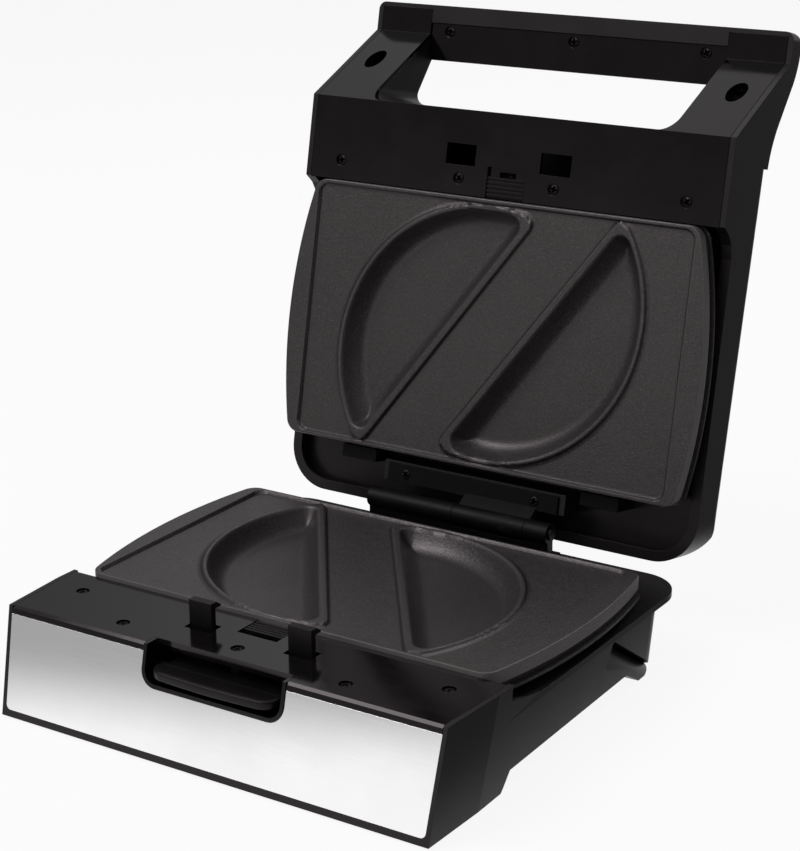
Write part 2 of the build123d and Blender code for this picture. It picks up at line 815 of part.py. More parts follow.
def heater_solid(flange_z):
    half = heater_half_width
    path = FilletPolyline(
        (-heater_leg_x, heater_rear), (-half, heater_rear), (-half, heater_front),
        (half, heater_front), (half, heater_rear), (heater_leg_x, heater_rear), radius=heater_bend)
    path = Pos(0, 0, heater_z) * path
    start = Plane(origin=path @ 0, z_dir=path % 0)
    body = sweep(start * Circle(heater_radius), path=path)
    leg_end = flange_z - tray_depth - heater_leg_below
    for side in (-1, 1):
        body += rod_z(side * heater_leg_x, heater_rear, leg_end, heater_z, heater_radius)
        body += Pos(side * heater_leg_x, heater_rear, heater_z) * Sphere(heater_radius)
    return body


def clip_solids(base_z):
    # Sheet steel clips that hold the two rear tabs of a plate
    solids = []
    half = clip_width / 2
    slot_half = tab_width / 2 + 2 * fit_gap
    for side in (-1, 1):
        x = side * tab_x
        clip = box(x - half, x + half, clip_front, clip_rear, base_z, clip_top)
        clip -= box(x - slot_half, x + slot_half, clip_front - 1, tab_end + 0.7,
                    plate_bottom - 0.1, plate_bottom + clip_slot_height)
        clip -= box(x - half + clip_sheet, x + half - clip_sheet, clip_front - 1, clip_rear - clip_sheet,
                    base_z + clip_sheet, plate_bottom - clip_sheet)
        solids.append(clip)
    return solids


# Small pieces of the base
def bottom_cover_solid():
    body = cover_plan(0) & box(-far, far, -far, far, belly_height, belly_height + wall)
    for x, y in cover_screw_places():
        body -= screw_cut(x, y, belly_height, 1)
    return body


def foot_pad_solids():
    return [rod_z(x, y, foot_pad_recess - foot_pad_height, foot_pad_recess, foot_pad_radius)
            for x, y in foot_pad_places()]


def cord_gland_solid():
    outside = rear_wall_y(gland_z)
    inside = rear_wall_y(gland_z - gland_radius - gland_collar) - wall - fit_gap
    body = rod_y(gland_x, inside - 2, outside + gland_length, gland_z, gland_radius)
    body += rod_y(gland_x, inside - 2, inside, gland_z, gland_radius + gland_collar)
    groove_pitch = gland_length / (gland_grooves + 1)
    for i in range(gland_grooves):
        y = outside + groove_pitch * (i + 0.9)
        ring = rod_y(gland_x, y, y + groove_pitch * 0.4, gland_z, gland_radius + 1)
        body -= ring - rod_y(gland_x, y, y + groove_pitch * 0.4, gland_z, gland_radius - 1)
    return body - rod_y(gland_x, outside - 20, outside + 20, gland_z, gland_bore)


def terminal_block_solid():
    x1 = terminal_left + terminal_width
    y1 = terminal_front + terminal_depth
    body = box(terminal_left, x1, terminal_front, y1, wall, wall + terminal_height)
    slots = 3
    pitch = terminal_width / slots
    for i in range(slots):
        middle = terminal_left + pitch * (i + 0.5)
        body -= box(middle - pitch * 0.3, middle + pitch * 0.3, terminal_front + 3, y1 - 3,
                    wall + terminal_height / 2, wall + terminal_height)
    return body


# Hinge
def hinge_lower_bracket_solid():
    top = rim_height + hinge_leaf
    body = box(barrel_left + 0.6, barrel_right, lower_leaf_front, lower_leaf_rear, rim_height, top)
    left_end = knuckle_seam_1 - fit_gap / 2
    right_start = knuckle_seam_2 + fit_gap / 2
    for x0, x1 in ((barrel_left, left_end), (right_start, barrel_right)):
        body += box(x0, x1, web_front, web_rear, rim_height + hinge_leaf / 2, hinge_z)
        body += rod_x(x0, x1, hinge_y, hinge_z, barrel_radius)
    body += box(left_end - 1, right_start + 1, web_front, web_rear, rim_height + hinge_leaf / 2,
                hinge_z - barrel_radius - web_clearance)
    body -= rod_x(barrel_left, barrel_right, hinge_y, hinge_z, pin_radius + running_gap / 5)
    for x in hinge_screw_x:
        body -= bore(x, lower_screw_y, rim_height, top)
    return body


def hinge_upper_bracket_solid():
    top = upper_leaf_z + hinge_leaf
    body = box(upper_leaf_left, upper_leaf_right, upper_leaf_front, upper_leaf_rear, upper_leaf_z, top)
    x0 = knuckle_seam_1 + fit_gap / 2
    x1 = knuckle_seam_2 - fit_gap / 2
    body += side_prism([
        (upper_leaf_rear - 1.5, upper_leaf_z), (upper_leaf_rear - 1.5, top), (upper_leaf_rear + 4, top),
        (hinge_y + 1, hinge_z + barrel_radius - 0.2), (hinge_y - barrel_radius + 0.6, hinge_z + 2.4)], x0, x1)
    body += rod_x(x0, x1, hinge_y, hinge_z, barrel_radius)
    body -= rod_x(x0, x1, hinge_y, hinge_z, pin_radius + running_gap)
    for x in hinge_screw_x:
        body -= bore(x, upper_screw_y, upper_leaf_z, top)
    return body


def hinge_pin_solid():
    body = rod_x(barrel_left + 0.6, barrel_right + pin_head, hinge_y, hinge_z, pin_radius)
    return body + rod_x(barrel_right, barrel_right + pin_head, hinge_y, hinge_z, pin_head_radius)


# Lid, closed
def lid_top_at(y):
    return lid_top_front + lid_slope * (y - lid_top_front_y)


def lid_profile(inset):
    # Side view in (y, z): handle, sloping top, rounded rear, rim, and the bent front underneath
    crown = [
        Line((lid_tip_y, handle_height), (lid_tip_y, lid_tip_top)),
        ThreePointArc((lid_tip_y, lid_tip_top), (lid_tip_y + 2.5, handle_peak - 2.7),
                      (handle_peak_y, handle_peak)),
        ThreePointArc((handle_peak_y, handle_peak), (handle_back_y - 11.5, handle_back + 5.4),
                      (handle_back_y, handle_back)),
        Line((handle_back_y, handle_back), (neck_y, neck_height)),
        ThreePointArc((neck_y, neck_height), (neck_y + 12.5, lid_top_front + 2.6),
                      (lid_top_front_y, lid_top_front)),
        Line((lid_top_front_y, lid_top_front), (lid_top_rear_y, lid_top_rear)),
        ThreePointArc((lid_top_rear_y, lid_top_rear), (lid_rear - 8.5, lid_top_rear - 6),
                      (lid_rear, lid_rear_shoulder)),
        Line((lid_rear, lid_rear_shoulder), (lid_rear, lid_rim))]
    edge = Polyline(
        (lid_rear, lid_rim), (deck_length + 17, lid_rim), (deck_length + 9, lid_rim - 2.6),
        (deck_length + 3.8, lid_rim - 7.1), (deck_length - 0.5, frame_height), (frame_front, frame_height),
        (handle_crease, handle_height), (lid_tip_y, handle_height))
    face = make_face(crown + [edge])
    return offset(face, -inset, kind=Kind.INTERSECTION) if inset else face


def lid_form(inset=0.0, side_inset=0.0):
    half = lid_half_width - side_inset
    body = side_extrude(lid_profile(inset), -half, half)
    plan = Polygon((-half, lid_tip_y), (half, lid_tip_y), (half, lid_rear - inset), (-half, lid_rear - inset),
                   align=None)
    plan = fillet(plan.vertices().group_by(Axis.Y)[-1], lid_corner - side_inset)
    plan = fillet(plan.vertices().group_by(Axis.Y)[0], lid_front_corner - side_inset)
    body &= plan_prism(plan, 0, far)
    # Rounded shoulders along the sloping top
    top = lid_top_at(0) - inset
    arch = Polygon((-half, 0), (half, 0), (half, top), (-half, top), align=None)
    arch = fillet(arch.vertices().group_by(Axis.Y)[-1], lid_shoulder - side_inset)
    shoulders = extrude(Plane.XZ * arch, far, dir=(0, 1, lid_slope))
    return body & (shoulders + box(-far, far, -far, lid_top_front_y, -far, far))


def bent_line(distance):
    # The frame's outer face in side view, moved into the lid by distance
    points = [Vector(deck_length - 0.2, frame_height), Vector(frame_front, frame_height),
              Vector(handle_crease, handle_height), Vector(lid_tip_y + wall, handle_height)]
    normals = []
    for start, end in zip(points, points[1:]):
        along = (end - start).normalized()
        normals.append(Vector(along.Y, -along.X))
    moved = [points[0] + normals[0] * distance]
    for point, before, after in zip(points[1:-1], normals, normals[1:]):
        bisector = (before + after).normalized()
        moved.append(point + bisector * (distance / bisector.dot(before)))
    moved.append(points[-1] + normals[-1] * distance)
    return [(point.X, point.Y) for point in moved]


def opening_plan(grow, front):
    # Finger opening behind the handle, rounded at the end next to the deck
    return tongue_plan(opening_half_width + grow, front, frame_front + grow, opening_corner + grow)


def bent_prism(low, high, x0, x1):
    # What lies between two faces parallel to the frame's outer face
    return side_prism(bent_line(low) + bent_line(high)[::-1], x0, x1)


def below_frame(gap, x0, x1):
    # Everything from the frame's inner face, plus a gap, down and forward
    inner = bent_line(frame_thickness + gap)
    last_y = inner[-1][0]
    return side_prism(inner + [(last_y, 0), (inner[0][0] + gap, 0), (inner[0][0] + gap, inner[0][1])], x0, x1)


def lid_shell():
    # Hollow form with the plate's opening in its rim
    body = lid_form() - lid_form(wall, lid_side_wall)
    front = cross_wall_front - fit_gap
    opening = tongue_plan(lid_half_width - rim_ring, front, lid_rear - rim_ring, lid_corner - rim_ring)
    body -= plan_prism(opening, 0, lid_rim + wall + 1)
    return body - box(-inner_half_width, inner_half_width, front, cross_wall_rear + fit_gap, 0, lid_ledge)


def lid_bosses():
    solids = [boss(x, y, frame_top, far) for x, y in lid_screw_places]
    solids += [boss(x, strip_screw_y, strip_z, far) for x in strip_screw_x]
    solids += [boss(x, y, arm_seat_z + arm_tube_wall, far) for x, y in arm_screw_places]
    return solids


def lid_inner_walls():
    # Walls round the finger opening, along the inner sides of the arms and behind the handle
    walls = plan_prism(opening_plan(wall, lid_tip_y + wall / 2), 0, far)
    walls -= plan_prism(opening_plan(0, lid_tip_y), 0, far)
    return walls + box(-opening_half_width, opening_half_width, opening_front - wall, opening_front, 0, far)


def lid_housing_solid():
    outer = lid_form()
    body = lid_shell()
    body += (box(-far, far, cross_wall_front, far, lid_ledge, lid_ledge + wall) - tray_hole()) & outer
    body += box(hinge_block_left, hinge_block_right, upper_leaf_front - 1.5, upper_leaf_rear,
                upper_leaf_z + hinge_leaf, lid_ledge + wall)
    for side in (-1, 1):
        middle = side * support_x
        body += box(middle - support_half, middle + support_half, cross_wall_rear + fit_gap, plate_front + 5,
                    2 * parting - plate_bottom + fit_gap / 2, lid_ledge + wall)
    body += lid_inner_walls() & outer
    for one in lid_bosses():
        body += one & outer
    # Room for the bent frame, the strip and the finger opening
    body -= below_frame(0, opening_half_width - fit_gap, inner_half_width)
    body -= below_frame(0, -inner_half_width, -opening_half_width + fit_gap)
    body -= below_frame(0, -inner_half_width, inner_half_width) & box(
        -far, far, frame_front - opening_corner, far, -far, far)
    body -= plan_prism(opening_plan(0, opening_front), 0, far)
    body -= box(-opening_half_width, opening_half_width, strip_front, opening_front, 0,
                strip_z + strip_thickness)
    for x, y in arm_screw_places:
        body -= rod_z(x, y, 0, arm_seat_z + arm_tube_wall, arm_hole_radius + arm_tube_wall + fit_gap)
    # Screw holes, the inlay's recess and the lens holes
    for x, y in lid_screw_places:
        body -= bore(x, y, frame_top, frame_top + screw_length)
    for x in strip_screw_x:
        body -= bore(x, strip_screw_y, strip_z, strip_z + screw_recess_depth + strip_screw_length)
    for x, y in arm_screw_places:
        body -= bore(x, y, arm_seat_z, arm_seat_z + screw_length)
    for x in hinge_screw_x:
        body -= bore(x, upper_screw_y, upper_leaf_z, upper_leaf_z + screw_length + 1)
    body -= inlay_form(fit_gap / 2, inlay_thickness)
    for side in (-1, 1):
        body -= rod_z(side * lens_x, lens_y, lid_top_at(lens_y) - lens_height, far, lens_radius + screw_gap)
    return body


def inlay_form(grow, depth):
    # Slab under the sloping top
    half = inlay_half_width + grow
    front = inlay_front - grow
    rear = inlay_rear + grow
    slab = side_prism([
        (front, lid_top_at(front) + 1), (rear, lid_top_at(rear) + 1),
        (rear, lid_top_at(rear) - depth), (front, lid_top_at(front) - depth)], -half, half)
    plan = Pos(0, (front + rear) / 2) * RectangleRounded(2 * half, rear - front, inlay_corner + grow)
    return slab & plan_prism(plan, 0, far)


def lid_inlay_solid():
    body = inlay_form(0, inlay_thickness) & lid_form()
    for side in (-1, 1):
        body -= rod_z(side * lens_x, lens_y, 0, far, lens_radius + screw_gap)
    return body


def lens_solid(side):
    top = lid_top_at(lens_y)
    body = rod_z(side * lens_x, lens_y, top - lens_height, top + 0.2, lens_radius)
    head = rod_z(side * lens_x, lens_y, top + 0.2, top + 1.2, lens_radius + 0.9)
    return body + fillet(head.edges().group_by(Axis.Z)[-1], 0.7)


def lid_frame_solid():
    body = bent_prism(0, frame_thickness, -frame_half_width, frame_half_width)
    body -= plan_prism(opening_plan(0, lid_tip_y - 5), 0, far)
    # Wall between the deck and the plate, with the slot for the slider's tongue
    body += box(-frame_half_width, frame_half_width, cross_wall_front, cross_wall_rear, frame_height,
                lid_ledge - fit_gap)
    body -= mirrored_up(tongue_slot())
    body += box(-slider_half_width - 2, slider_half_width + 2, slider_recess_front - 2, cross_wall_rear,
                frame_height, frame_height + deck_thickness)
    body -= mirrored_up(slider_cuts(upper_surface))
    body += mirrored_up(spring_peg(upper_surface, upper_surface - frame_thickness))
    body -= hook_slots(window_half_width, window_front, window_rear, 0, far)
    for x, y in lid_screw_places:
        body -= screw_cut(x, y, frame_height, 1)
    # Tubes that lead the arm screws to their seats
    inside = lid_form() & side_prism(
        bent_line(0) + [(lid_tip_y + wall, far), (deck_length, far)], -far, far)
    for x, y in arm_screw_places:
        tube = rod_z(x, y, 0, arm_seat_z + arm_tube_wall, arm_hole_radius + arm_tube_wall)
        body += tube & inside
        body -= rod_z(x, y, 0, arm_seat_z, arm_hole_radius)
        body -= bore(x, y, arm_seat_z, arm_seat_z + arm_tube_wall)
    return body


def handle_strip_solid():
    plan = tongue_plan(opening_half_width - fit_gap, strip_front + fit_gap, opening_front, strip_corner)
    body = plan_prism(plan, strip_z, strip_z + strip_thickness)
    for x in strip_screw_x:
        body -= screw_cut(x, strip_screw_y, strip_z, 1)
    return body


# Build every piece
base_plate = plate_solid()
base_clips = clip_solids(rim_height)
keep("base_housing", base_housing_solid())
keep("steel_front_panel", steel_panel_solid(panel_thickness, fit_gap / 3)
     - front_prism(pocket_outline(-fit_gap), -far, 6))
keep("front_deck", front_deck_solid())
keep("deck_screws", screws(deck_screw_places, deck_height - screw_recess_depth))
keep("latch_pocket", latch_pocket_solid())
keep("latch_lever", latch_lever_solid())
keep("latch_shaft", rod_x(-latch_shaft_half, latch_shaft_half, latch_shaft_y, latch_shaft_z, latch_shaft_radius))
keep("latch_spring", latch_spring_solid())
keep("lower_release_slider", slider_solid(deck_height))
keep("lower_slider_spring", slider_spring_solid(deck_height))
keep("lower_plate", base_plate)
keep("lower_plate_clips", base_clips)
keep("lower_reflector_tray", tray_solid(rim_height))
keep("lower_heating_element", heater_solid(rim_height))
keep("thermal_fuse", rod_x(*fuse_ends, fuse_y, rim_height - tray_depth - fuse_radius, fuse_radius))
keep("terminal_block", terminal_block_solid())
keep("cord_gland", cord_gland_solid())
keep("bottom_cover", bottom_cover_solid())
keep("bottom_cover_screws", screws(cover_screw_places(), belly_height + screw_recess_depth, downward=True))
keep("foot_pads", foot_pad_solids())
keep("hinge_lower_bracket", hinge_lower_bracket_solid())
keep("hinge_pin", hinge_pin_solid())
keep("hinge_lower_screws", screws([(x, lower_screw_y) for x in hinge_screw_x], rim_height + hinge_leaf))

keep("lid_housing", lid_housing_solid(), on_lid=True)
keep("lid_frame", lid_frame_solid(), on_lid=True)
keep("lid_frame_screws", screws(lid_screw_places, frame_height + screw_recess_depth, downward=True), on_lid=True)
keep("handle_strip", handle_strip_solid(), on_lid=True)
keep("handle_strip_screws", screws([(x, strip_screw_y) for x in strip_screw_x], strip_z + screw_recess_depth,
                                   downward=True, length=strip_screw_length), on_lid=True)
keep("arm_screws", screws(arm_screw_places, arm_seat_z, downward=True), on_lid=True)
keep("lid_inlay", lid_inlay_solid(), on_lid=True)
keep("power_lens", lens_solid(-1), on_lid=True)
keep("ready_lens", lens_solid(1), on_lid=True)
keep("upper_release_slider", mirrored_up(slider_solid(upper_surface)), on_lid=True)
keep("upper_slider_spring", mirrored_up(slider_spring_solid(upper_surface)), on_lid=True)
keep("upper_plate", mirrored_up(base_plate), on_lid=True)
keep("upper_plate_clips", [mirrored_up(one) for one in clip_solids(ledge_mirror)], on_lid=True)
keep("upper_reflector_tray", mirrored_up(tray_solid(ledge_mirror)), on_lid=True)
keep("upper_heating_element", mirrored_up(heater_solid(ledge_mirror)), on_lid=True)
thermostat_floor = lid_ledge + tray_depth
keep("thermostat", rod_z(*thermostat_place, thermostat_floor, thermostat_floor + thermostat_height,
                         thermostat_radius), on_lid=True)
keep("hinge_upper_bracket", hinge_upper_bracket_solid(), on_lid=True)
keep("hinge_upper_screws", screws([(x, upper_screw_y) for x in hinge_screw_x], upper_leaf_z,
                                  downward=True), on_lid=True)

# Origin under the middle of the whole object, as it stands open
boxes = [one.bounding_box() for solids in nodes.values() for one in solids]
left = min(one.min.X for one in boxes)
right = max(one.max.X for one in boxes)
foremost = min(one.min.Y for one in boxes)
rearmost = max(one.max.Y for one in boxes)
origin = Vector((left + right) / 2, (foremost + rearmost) / 2, min(one.min.Z for one in boxes))
for name, solids in nodes.items():
    nodes[name] = [Pos(-origin.X, -origin.Y, -origin.Z) * one for one in solids]

if __name__ == "__main__":
    os.makedirs("parts", exist_ok=True)
    for name, solids in nodes.items():
        shape = solids[0] if len(solids) == 1 else Compound(children=solids)
        export_step(shape, f"parts/{name}.step")
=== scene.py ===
import math
import bmesh
import bpy
import numpy as np
from mathutils import Matrix, Vector


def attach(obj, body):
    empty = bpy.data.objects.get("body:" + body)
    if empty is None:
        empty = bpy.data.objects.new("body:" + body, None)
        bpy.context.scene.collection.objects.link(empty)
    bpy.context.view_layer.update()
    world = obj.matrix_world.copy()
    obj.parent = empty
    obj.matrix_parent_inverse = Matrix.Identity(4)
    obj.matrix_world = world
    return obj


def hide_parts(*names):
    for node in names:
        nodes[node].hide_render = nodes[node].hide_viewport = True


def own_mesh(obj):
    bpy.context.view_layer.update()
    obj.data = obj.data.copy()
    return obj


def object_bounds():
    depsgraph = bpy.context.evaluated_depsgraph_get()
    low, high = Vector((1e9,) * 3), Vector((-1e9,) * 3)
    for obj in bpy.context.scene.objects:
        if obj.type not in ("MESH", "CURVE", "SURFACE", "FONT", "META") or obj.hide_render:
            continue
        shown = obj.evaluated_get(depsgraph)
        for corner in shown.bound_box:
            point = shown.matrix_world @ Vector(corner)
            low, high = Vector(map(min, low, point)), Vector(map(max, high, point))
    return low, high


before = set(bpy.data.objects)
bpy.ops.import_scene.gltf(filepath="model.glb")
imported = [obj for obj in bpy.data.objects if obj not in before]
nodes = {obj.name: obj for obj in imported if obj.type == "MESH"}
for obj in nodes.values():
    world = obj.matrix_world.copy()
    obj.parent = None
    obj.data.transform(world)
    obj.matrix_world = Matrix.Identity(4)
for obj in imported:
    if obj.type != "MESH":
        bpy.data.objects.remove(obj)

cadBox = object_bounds()
mm = 0.001
print("frame loaded:", len(nodes), "nodes")


# the place, angle and lens were solved from straight edges of the object
cameraSetup = {
    "place": (0.597628, -0.933592, 0.500147),
    "azimuth": 32.911,      # degrees, from straight in front
    "elevation": 18.489,
    "roll": -0.449,
    "focal": 2131.9, "longSide": 851,      # pixels
    "sensor": 36,      # mm along the longer side
}


def makeCamera(setup):
    az, el, roll = (math.radians(setup[key]) for key in ("azimuth", "elevation", "roll"))
    back = Vector((math.sin(az) * math.cos(el), -math.cos(az) * math.cos(el), math.sin(el)))
    right = Vector((math.cos(az), math.sin(az), 0))
    up = back.cross(right)
    turnedRight = right * math.cos(roll) + up * math.sin(roll)
    turnedUp = up * math.cos(roll) - right * math.sin(roll)
    data = bpy.data.cameras.new("camera")
    data.lens = setup["focal"] / setup["longSide"] * setup["sensor"]
    data.sensor_width = setup["sensor"]
    camera = bpy.data.objects.new("camera", data)
    camera.matrix_world = Matrix((turnedRight, turnedUp, back)).transposed().to_4x4()
    camera.location = setup["place"]
    bpy.context.scene.collection.objects.link(camera)
    bpy.context.scene.camera = camera


makeCamera(cameraSetup)


# a socket that can be used in sums; each sum adds its Math node
class Wire:
    def __init__(self, board, socket):
        self.board = board
        self.socket = socket

    def sum(self, operation, first, second):
        return self.board.add("ShaderNodeMath", {"operation": operation}, {0: first, 1: second})

    def __add__(self, other):
        return self.sum("ADD", self, other)

    def __radd__(self, other):
        return self.sum("ADD", other, self)

    def __sub__(self, other):
        return self.sum("SUBTRACT", self, other)

    def __rsub__(self, other):
        return self.sum("SUBTRACT", other, self)

    def __mul__(self, other):
        return self.sum("MULTIPLY", self, other)

    def __rmul__(self, other):
        return self.sum("MULTIPLY", other, self)


# the nodes of one material, or of the world
class Board:
    def __init__(self, owner):
        owner.use_nodes = True
        self.tree = owner.node_tree

    # settings are set first, then the sockets get their values or links
    def add(self, kind, settings=None, sockets=None, out=0):
        node = self.tree.nodes.new(kind)
        for key, value in (settings or {}).items():
            setattr(node, key, value)
        for key, value in (sockets or {}).items():
            self.give(node.inputs[key], value)
        return Wire(self, node.outputs[out])

    def give(self, socket, value):
        if isinstance(value, Wire):
            self.tree.links.new(value.socket, socket)
        elif socket.type == "RGBA" and len(value) == 3:
            socket.default_value = (*value, 1)
        else:
            socket.default_value = value

    def spread(self, value, low, high, newLow, newHigh):
        ends = {"From Min": low, "From Max": high, "To Min": newLow, "To Max": newHigh}
        return self.add("ShaderNodeMapRange", {"clamp": True}, {"Value": value, **ends})

    def along(self, axis, coords):
        vector = self.add("ShaderNodeTexCoord", out=coords)
        return self.add("ShaderNodeSeparateXYZ", None, {0: vector}, out=axis)

    def rays(self, kind):
        return self.add("ShaderNodeLightPath", out=kind)


class Finish(Board):
    def __init__(self, name, **sockets):
        self.material = bpy.data.materials.new(name)
        super().__init__(self.material)
        self.shader = self.tree.nodes["Principled BSDF"]
        self.coords = self.add("ShaderNodeTexCoord", out="Object")
        for key, value in sockets.items():
            self.give(self.shader.inputs[key.replace("_", " ")], value)

    def noise(self, scale, detail=2.0, roughness=0.5, stretch=None):
        vector = self.coords
        if stretch:
            vector = self.add("ShaderNodeVectorMath", {"operation": "MULTIPLY"}, {0: vector, 1: stretch})
        return self.add("ShaderNodeTexNoise", None,
                        {"Vector": vector, "Scale": scale, "Detail": detail, "Roughness": roughness})

    def tint(self, share, first, second):
        return self.add("ShaderNodeMix", {"data_type": "RGBA"}, {0: share, 6: first, 7: second}, out=2)

    # edges are rounded a little where light catches them, with the surface's own grain over it
    def relief(self, height, depth, edge, strength):
        rounded = self.add("ShaderNodeBevel", {"samples": 4}, {"Radius": edge})
        bump = self.add("ShaderNodeBump", None,
                        {"Height": height, "Distance": depth, "Strength": strength, "Normal": rounded})
        self.give(self.shader.inputs["Normal"], bump)

    def set(self, name, value):
        self.give(self.shader.inputs[name], value)


# in every look a noise is (scale, detail, roughness, stretch), a range is (low, high, new low, new high)
# and the relief is (depth, rounding of edges, strength)
warmSheen = (1.0, 0.89, 0.915)

housingLook = {"colour": (0.0062, 0.0055, 0.0056), "worn": (0.0100, 0.0089, 0.0090), "gloss": 0.35,
               "grain": (1400, 3, 0.55), "cloud": (22, 3), "cloudShare": 0.6,
               "wear": (0.35, 0.7, 0, 0.6), "rough": (0.5, 1.1, 0.28, 0.43),
               "relief": (0.05 * mm, 0.22 * mm, 0.5)}


def makeHousing(look):
    finish = Finish("satin-moulding", Specular_IOR_Level=look["gloss"], Specular_Tint=warmSheen)
    grain = finish.noise(*look["grain"])
    cloud = finish.noise(*look["cloud"])
    finish.set("Base Color", finish.tint(finish.spread(cloud, *look["wear"]), look["colour"], look["worn"]))
    finish.set("Roughness", finish.spread(grain + cloud * look["cloudShare"], *look["rough"]))
    finish.relief(grain, *look["relief"])
    return finish.material


glossLook = {"colour": (0.0024, 0.0020, 0.0022), "smeared": (0.0042, 0.0036, 0.0038), "gloss": 0.34,
             "smear": (35, 4, 0.6, (1, 2.5, 1)), "ripple": (260, 2),
             "wear": (0.4, 0.75, 0, 1), "rough": (0.3, 0.8, 0.09, 0.17),
             "relief": (0.02 * mm, 0.15 * mm, 0.3)}


def makeGloss(look):
    finish = Finish("gloss-moulding", Specular_IOR_Level=look["gloss"], Specular_Tint=warmSheen)
    smear = finish.noise(*look["smear"])
    ripple = finish.noise(*look["ripple"])
    smeared = finish.spread(smear, *look["wear"])
    finish.set("Base Color", finish.tint(smeared, look["colour"], look["smeared"]))
    finish.set("Roughness", finish.spread(smear, *look["rough"]))
    finish.relief(ripple, *look["relief"])
    return finish.material


darkLook = {"colour": (0.0040, 0.0035, 0.0037), "worn": (0.0075, 0.0067, 0.0069), "gloss": 0.2,
            "grain": (2200, 2), "patch": (60, 3),
            "wear": (0.4, 0.7, 0, 0.7), "rough": (0.3, 0.7, 0.32, 0.46),
            "relief": (0.04 * mm, 0.35 * mm, 0.5)}


def makeDark(look):
    finish = Finish("dark-moulding", Specular_IOR_Level=look["gloss"], Specular_Tint=warmSheen)
    grain = finish.noise(*look["grain"])
    patch = finish.noise(*look["patch"])
    finish.set("Base Color", finish.tint(finish.spread(patch, *look["wear"]), look["colour"], look["worn"]))
    finish.set("Roughness", finish.spread(grain, *look["rough"]))
    finish.relief(grain, *look["relief"])
    return finish.material


steelLook = {"colour": (0.97, 0.97, 0.97), "dull": (0.93, 0.93, 0.935),
             "brushed": (900, 3, 0.6, (0.03, 1, 1)), "brushedShare": 0.5,      # fine lines along the panel
             "smear": (18, 3, 0.5), "smearShare": 0.5,
             "wear": (0.35, 0.7, 0, 1), "rough": (0.3, 0.7, 0.09, 0.16),
             "relief": (0.006 * mm, 0.25 * mm, 0.25)}


def makeSteel(look):
    finish = Finish("bright-steel", Metallic=1.0)
    brushed = finish.noise(*look["brushed"])
    smear = finish.noise(*look["smear"])
    finish.set("Base Color", finish.tint(finish.spread(smear, *look["wear"]), look["colour"], look["dull"]))
    mixed = brushed * look["brushedShare"] + smear * look["smearShare"]
    finish.set("Roughness", finish.spread(mixed, *look["rough"]))
    finish.relief(brushed, *look["relief"])
    return finish.material


# the plate's ridges and outer walls get a painted highlight colour, and its corners and the feet of the
# ridges' steps get a painted shade colour
plateLook = {"colour": (0.0170, 0.0159, 0.0158), "low": (0.0105, 0.0099, 0.0098),
             "speck": (0.056, 0.053, 0.052), "paintedLight": (0.10, 0.094, 0.093),
             "corner": (0.0014, 0.0012, 0.0012), "gloss": 0.75,
             "grain": (720, 3, 0.62), "fleck": (1250, 2, 0.7), "cloud": (30, 4, 0.6), "cloudShare": 0.4,
             "wear": (0.35, 0.7, 0, 1), "flecks": (0.48, 0.72, 0, 1),
             "onPaintedHighlight": (0.04, 0.3, 0, 0.85), "inPaintedShade": (-0.3, -0.04, 0.95, 0),
             "rough": (0.45, 0.95, 0.33, 0.51), "relief": (0.26 * mm, 0.3 * mm, 0.8)}


def makePlate(look):
    finish = Finish("coated-casting", Specular_IOR_Level=look["gloss"], Specular_Tint=warmSheen)
    grain = finish.noise(*look["grain"])
    fleck = finish.noise(*look["fleck"])
    cloud = finish.noise(*look["cloud"])
    body = finish.tint(finish.spread(cloud, *look["wear"]), look["colour"], look["low"])
    speckled = finish.tint(finish.spread(fleck, *look["flecks"]), body, look["speck"])
    # painted light: ridges and walls are tinted lighter as a painted highlight, corners darker as painted
    # shade
    paintedLight = finish.add("ShaderNodeAttribute", {"attribute_name": "paintedLight"}, out="Fac")
    lit = finish.tint(finish.spread(paintedLight, *look["onPaintedHighlight"]), speckled, look["paintedLight"])
    finish.set("Base Color", finish.tint(finish.spread(paintedLight, *look["inPaintedShade"]), lit, look["corner"]))
    finish.set("Roughness", finish.spread(grain + cloud * look["cloudShare"], *look["rough"]))
    finish.relief(grain, *look["relief"])
    return finish.material


sheetLook = {"colour": (0.74, 0.74, 0.75), "stain": (0.42, 0.40, 0.37),
             "rolled": (700, 3, 0.5, (1, 0.05, 1)), "heat": (26, 4, 0.6),
             "wear": (0.5, 0.75, 0, 0.8), "rough": (0.3, 0.7, 0.19, 0.36),
             "relief": (0.01 * mm, 0.2 * mm, 0.3)}


def makeSheet(look):
    finish = Finish("bright-sheet", Metallic=1.0)
    rolled = finish.noise(*look["rolled"])
    heat = finish.noise(*look["heat"])
    finish.set("Base Color", finish.tint(finish.spread(heat, *look["wear"]), look["colour"], look["stain"]))
    finish.set("Roughness", finish.spread(rolled, *look["rough"]))
    finish.relief(rolled, *look["relief"])
    return finish.material


sheathLook = {"colour": (0.20, 0.19, 0.18), "blued": (0.09, 0.085, 0.10),
              "scale": (90, 4, 0.6), "grain": (1500, 2),
              "wear": (0.4, 0.65, 0, 1), "rough": (0.3, 0.7, 0.32, 0.57),
              "relief": (0.02 * mm, 0.2 * mm, 0.4)}


def makeSheath(look):
    finish = Finish("heater-sheath", Metallic=1.0)
    scale = finish.noise(*look["scale"])
    finish.set("Base Color", finish.tint(finish.spread(scale, *look["wear"]), look["colour"], look["blued"]))
    finish.set("Roughness", finish.spread(scale, *look["rough"]))
    finish.relief(finish.noise(*look["grain"]), *look["relief"])
    return finish.material


bracketLook = {"colour": (0.0042, 0.0038, 0.0039), "rubbed": (0.012, 0.0115, 0.0118), "gloss": 0.11,
               "peel": (420, 2), "rub": (48, 5, 0.7),
               "wear": (0.58, 0.72, 0, 1), "rough": (0.3, 0.7, 0.37, 0.54),
               "relief": (0.03 * mm, 0.35 * mm, 0.4)}


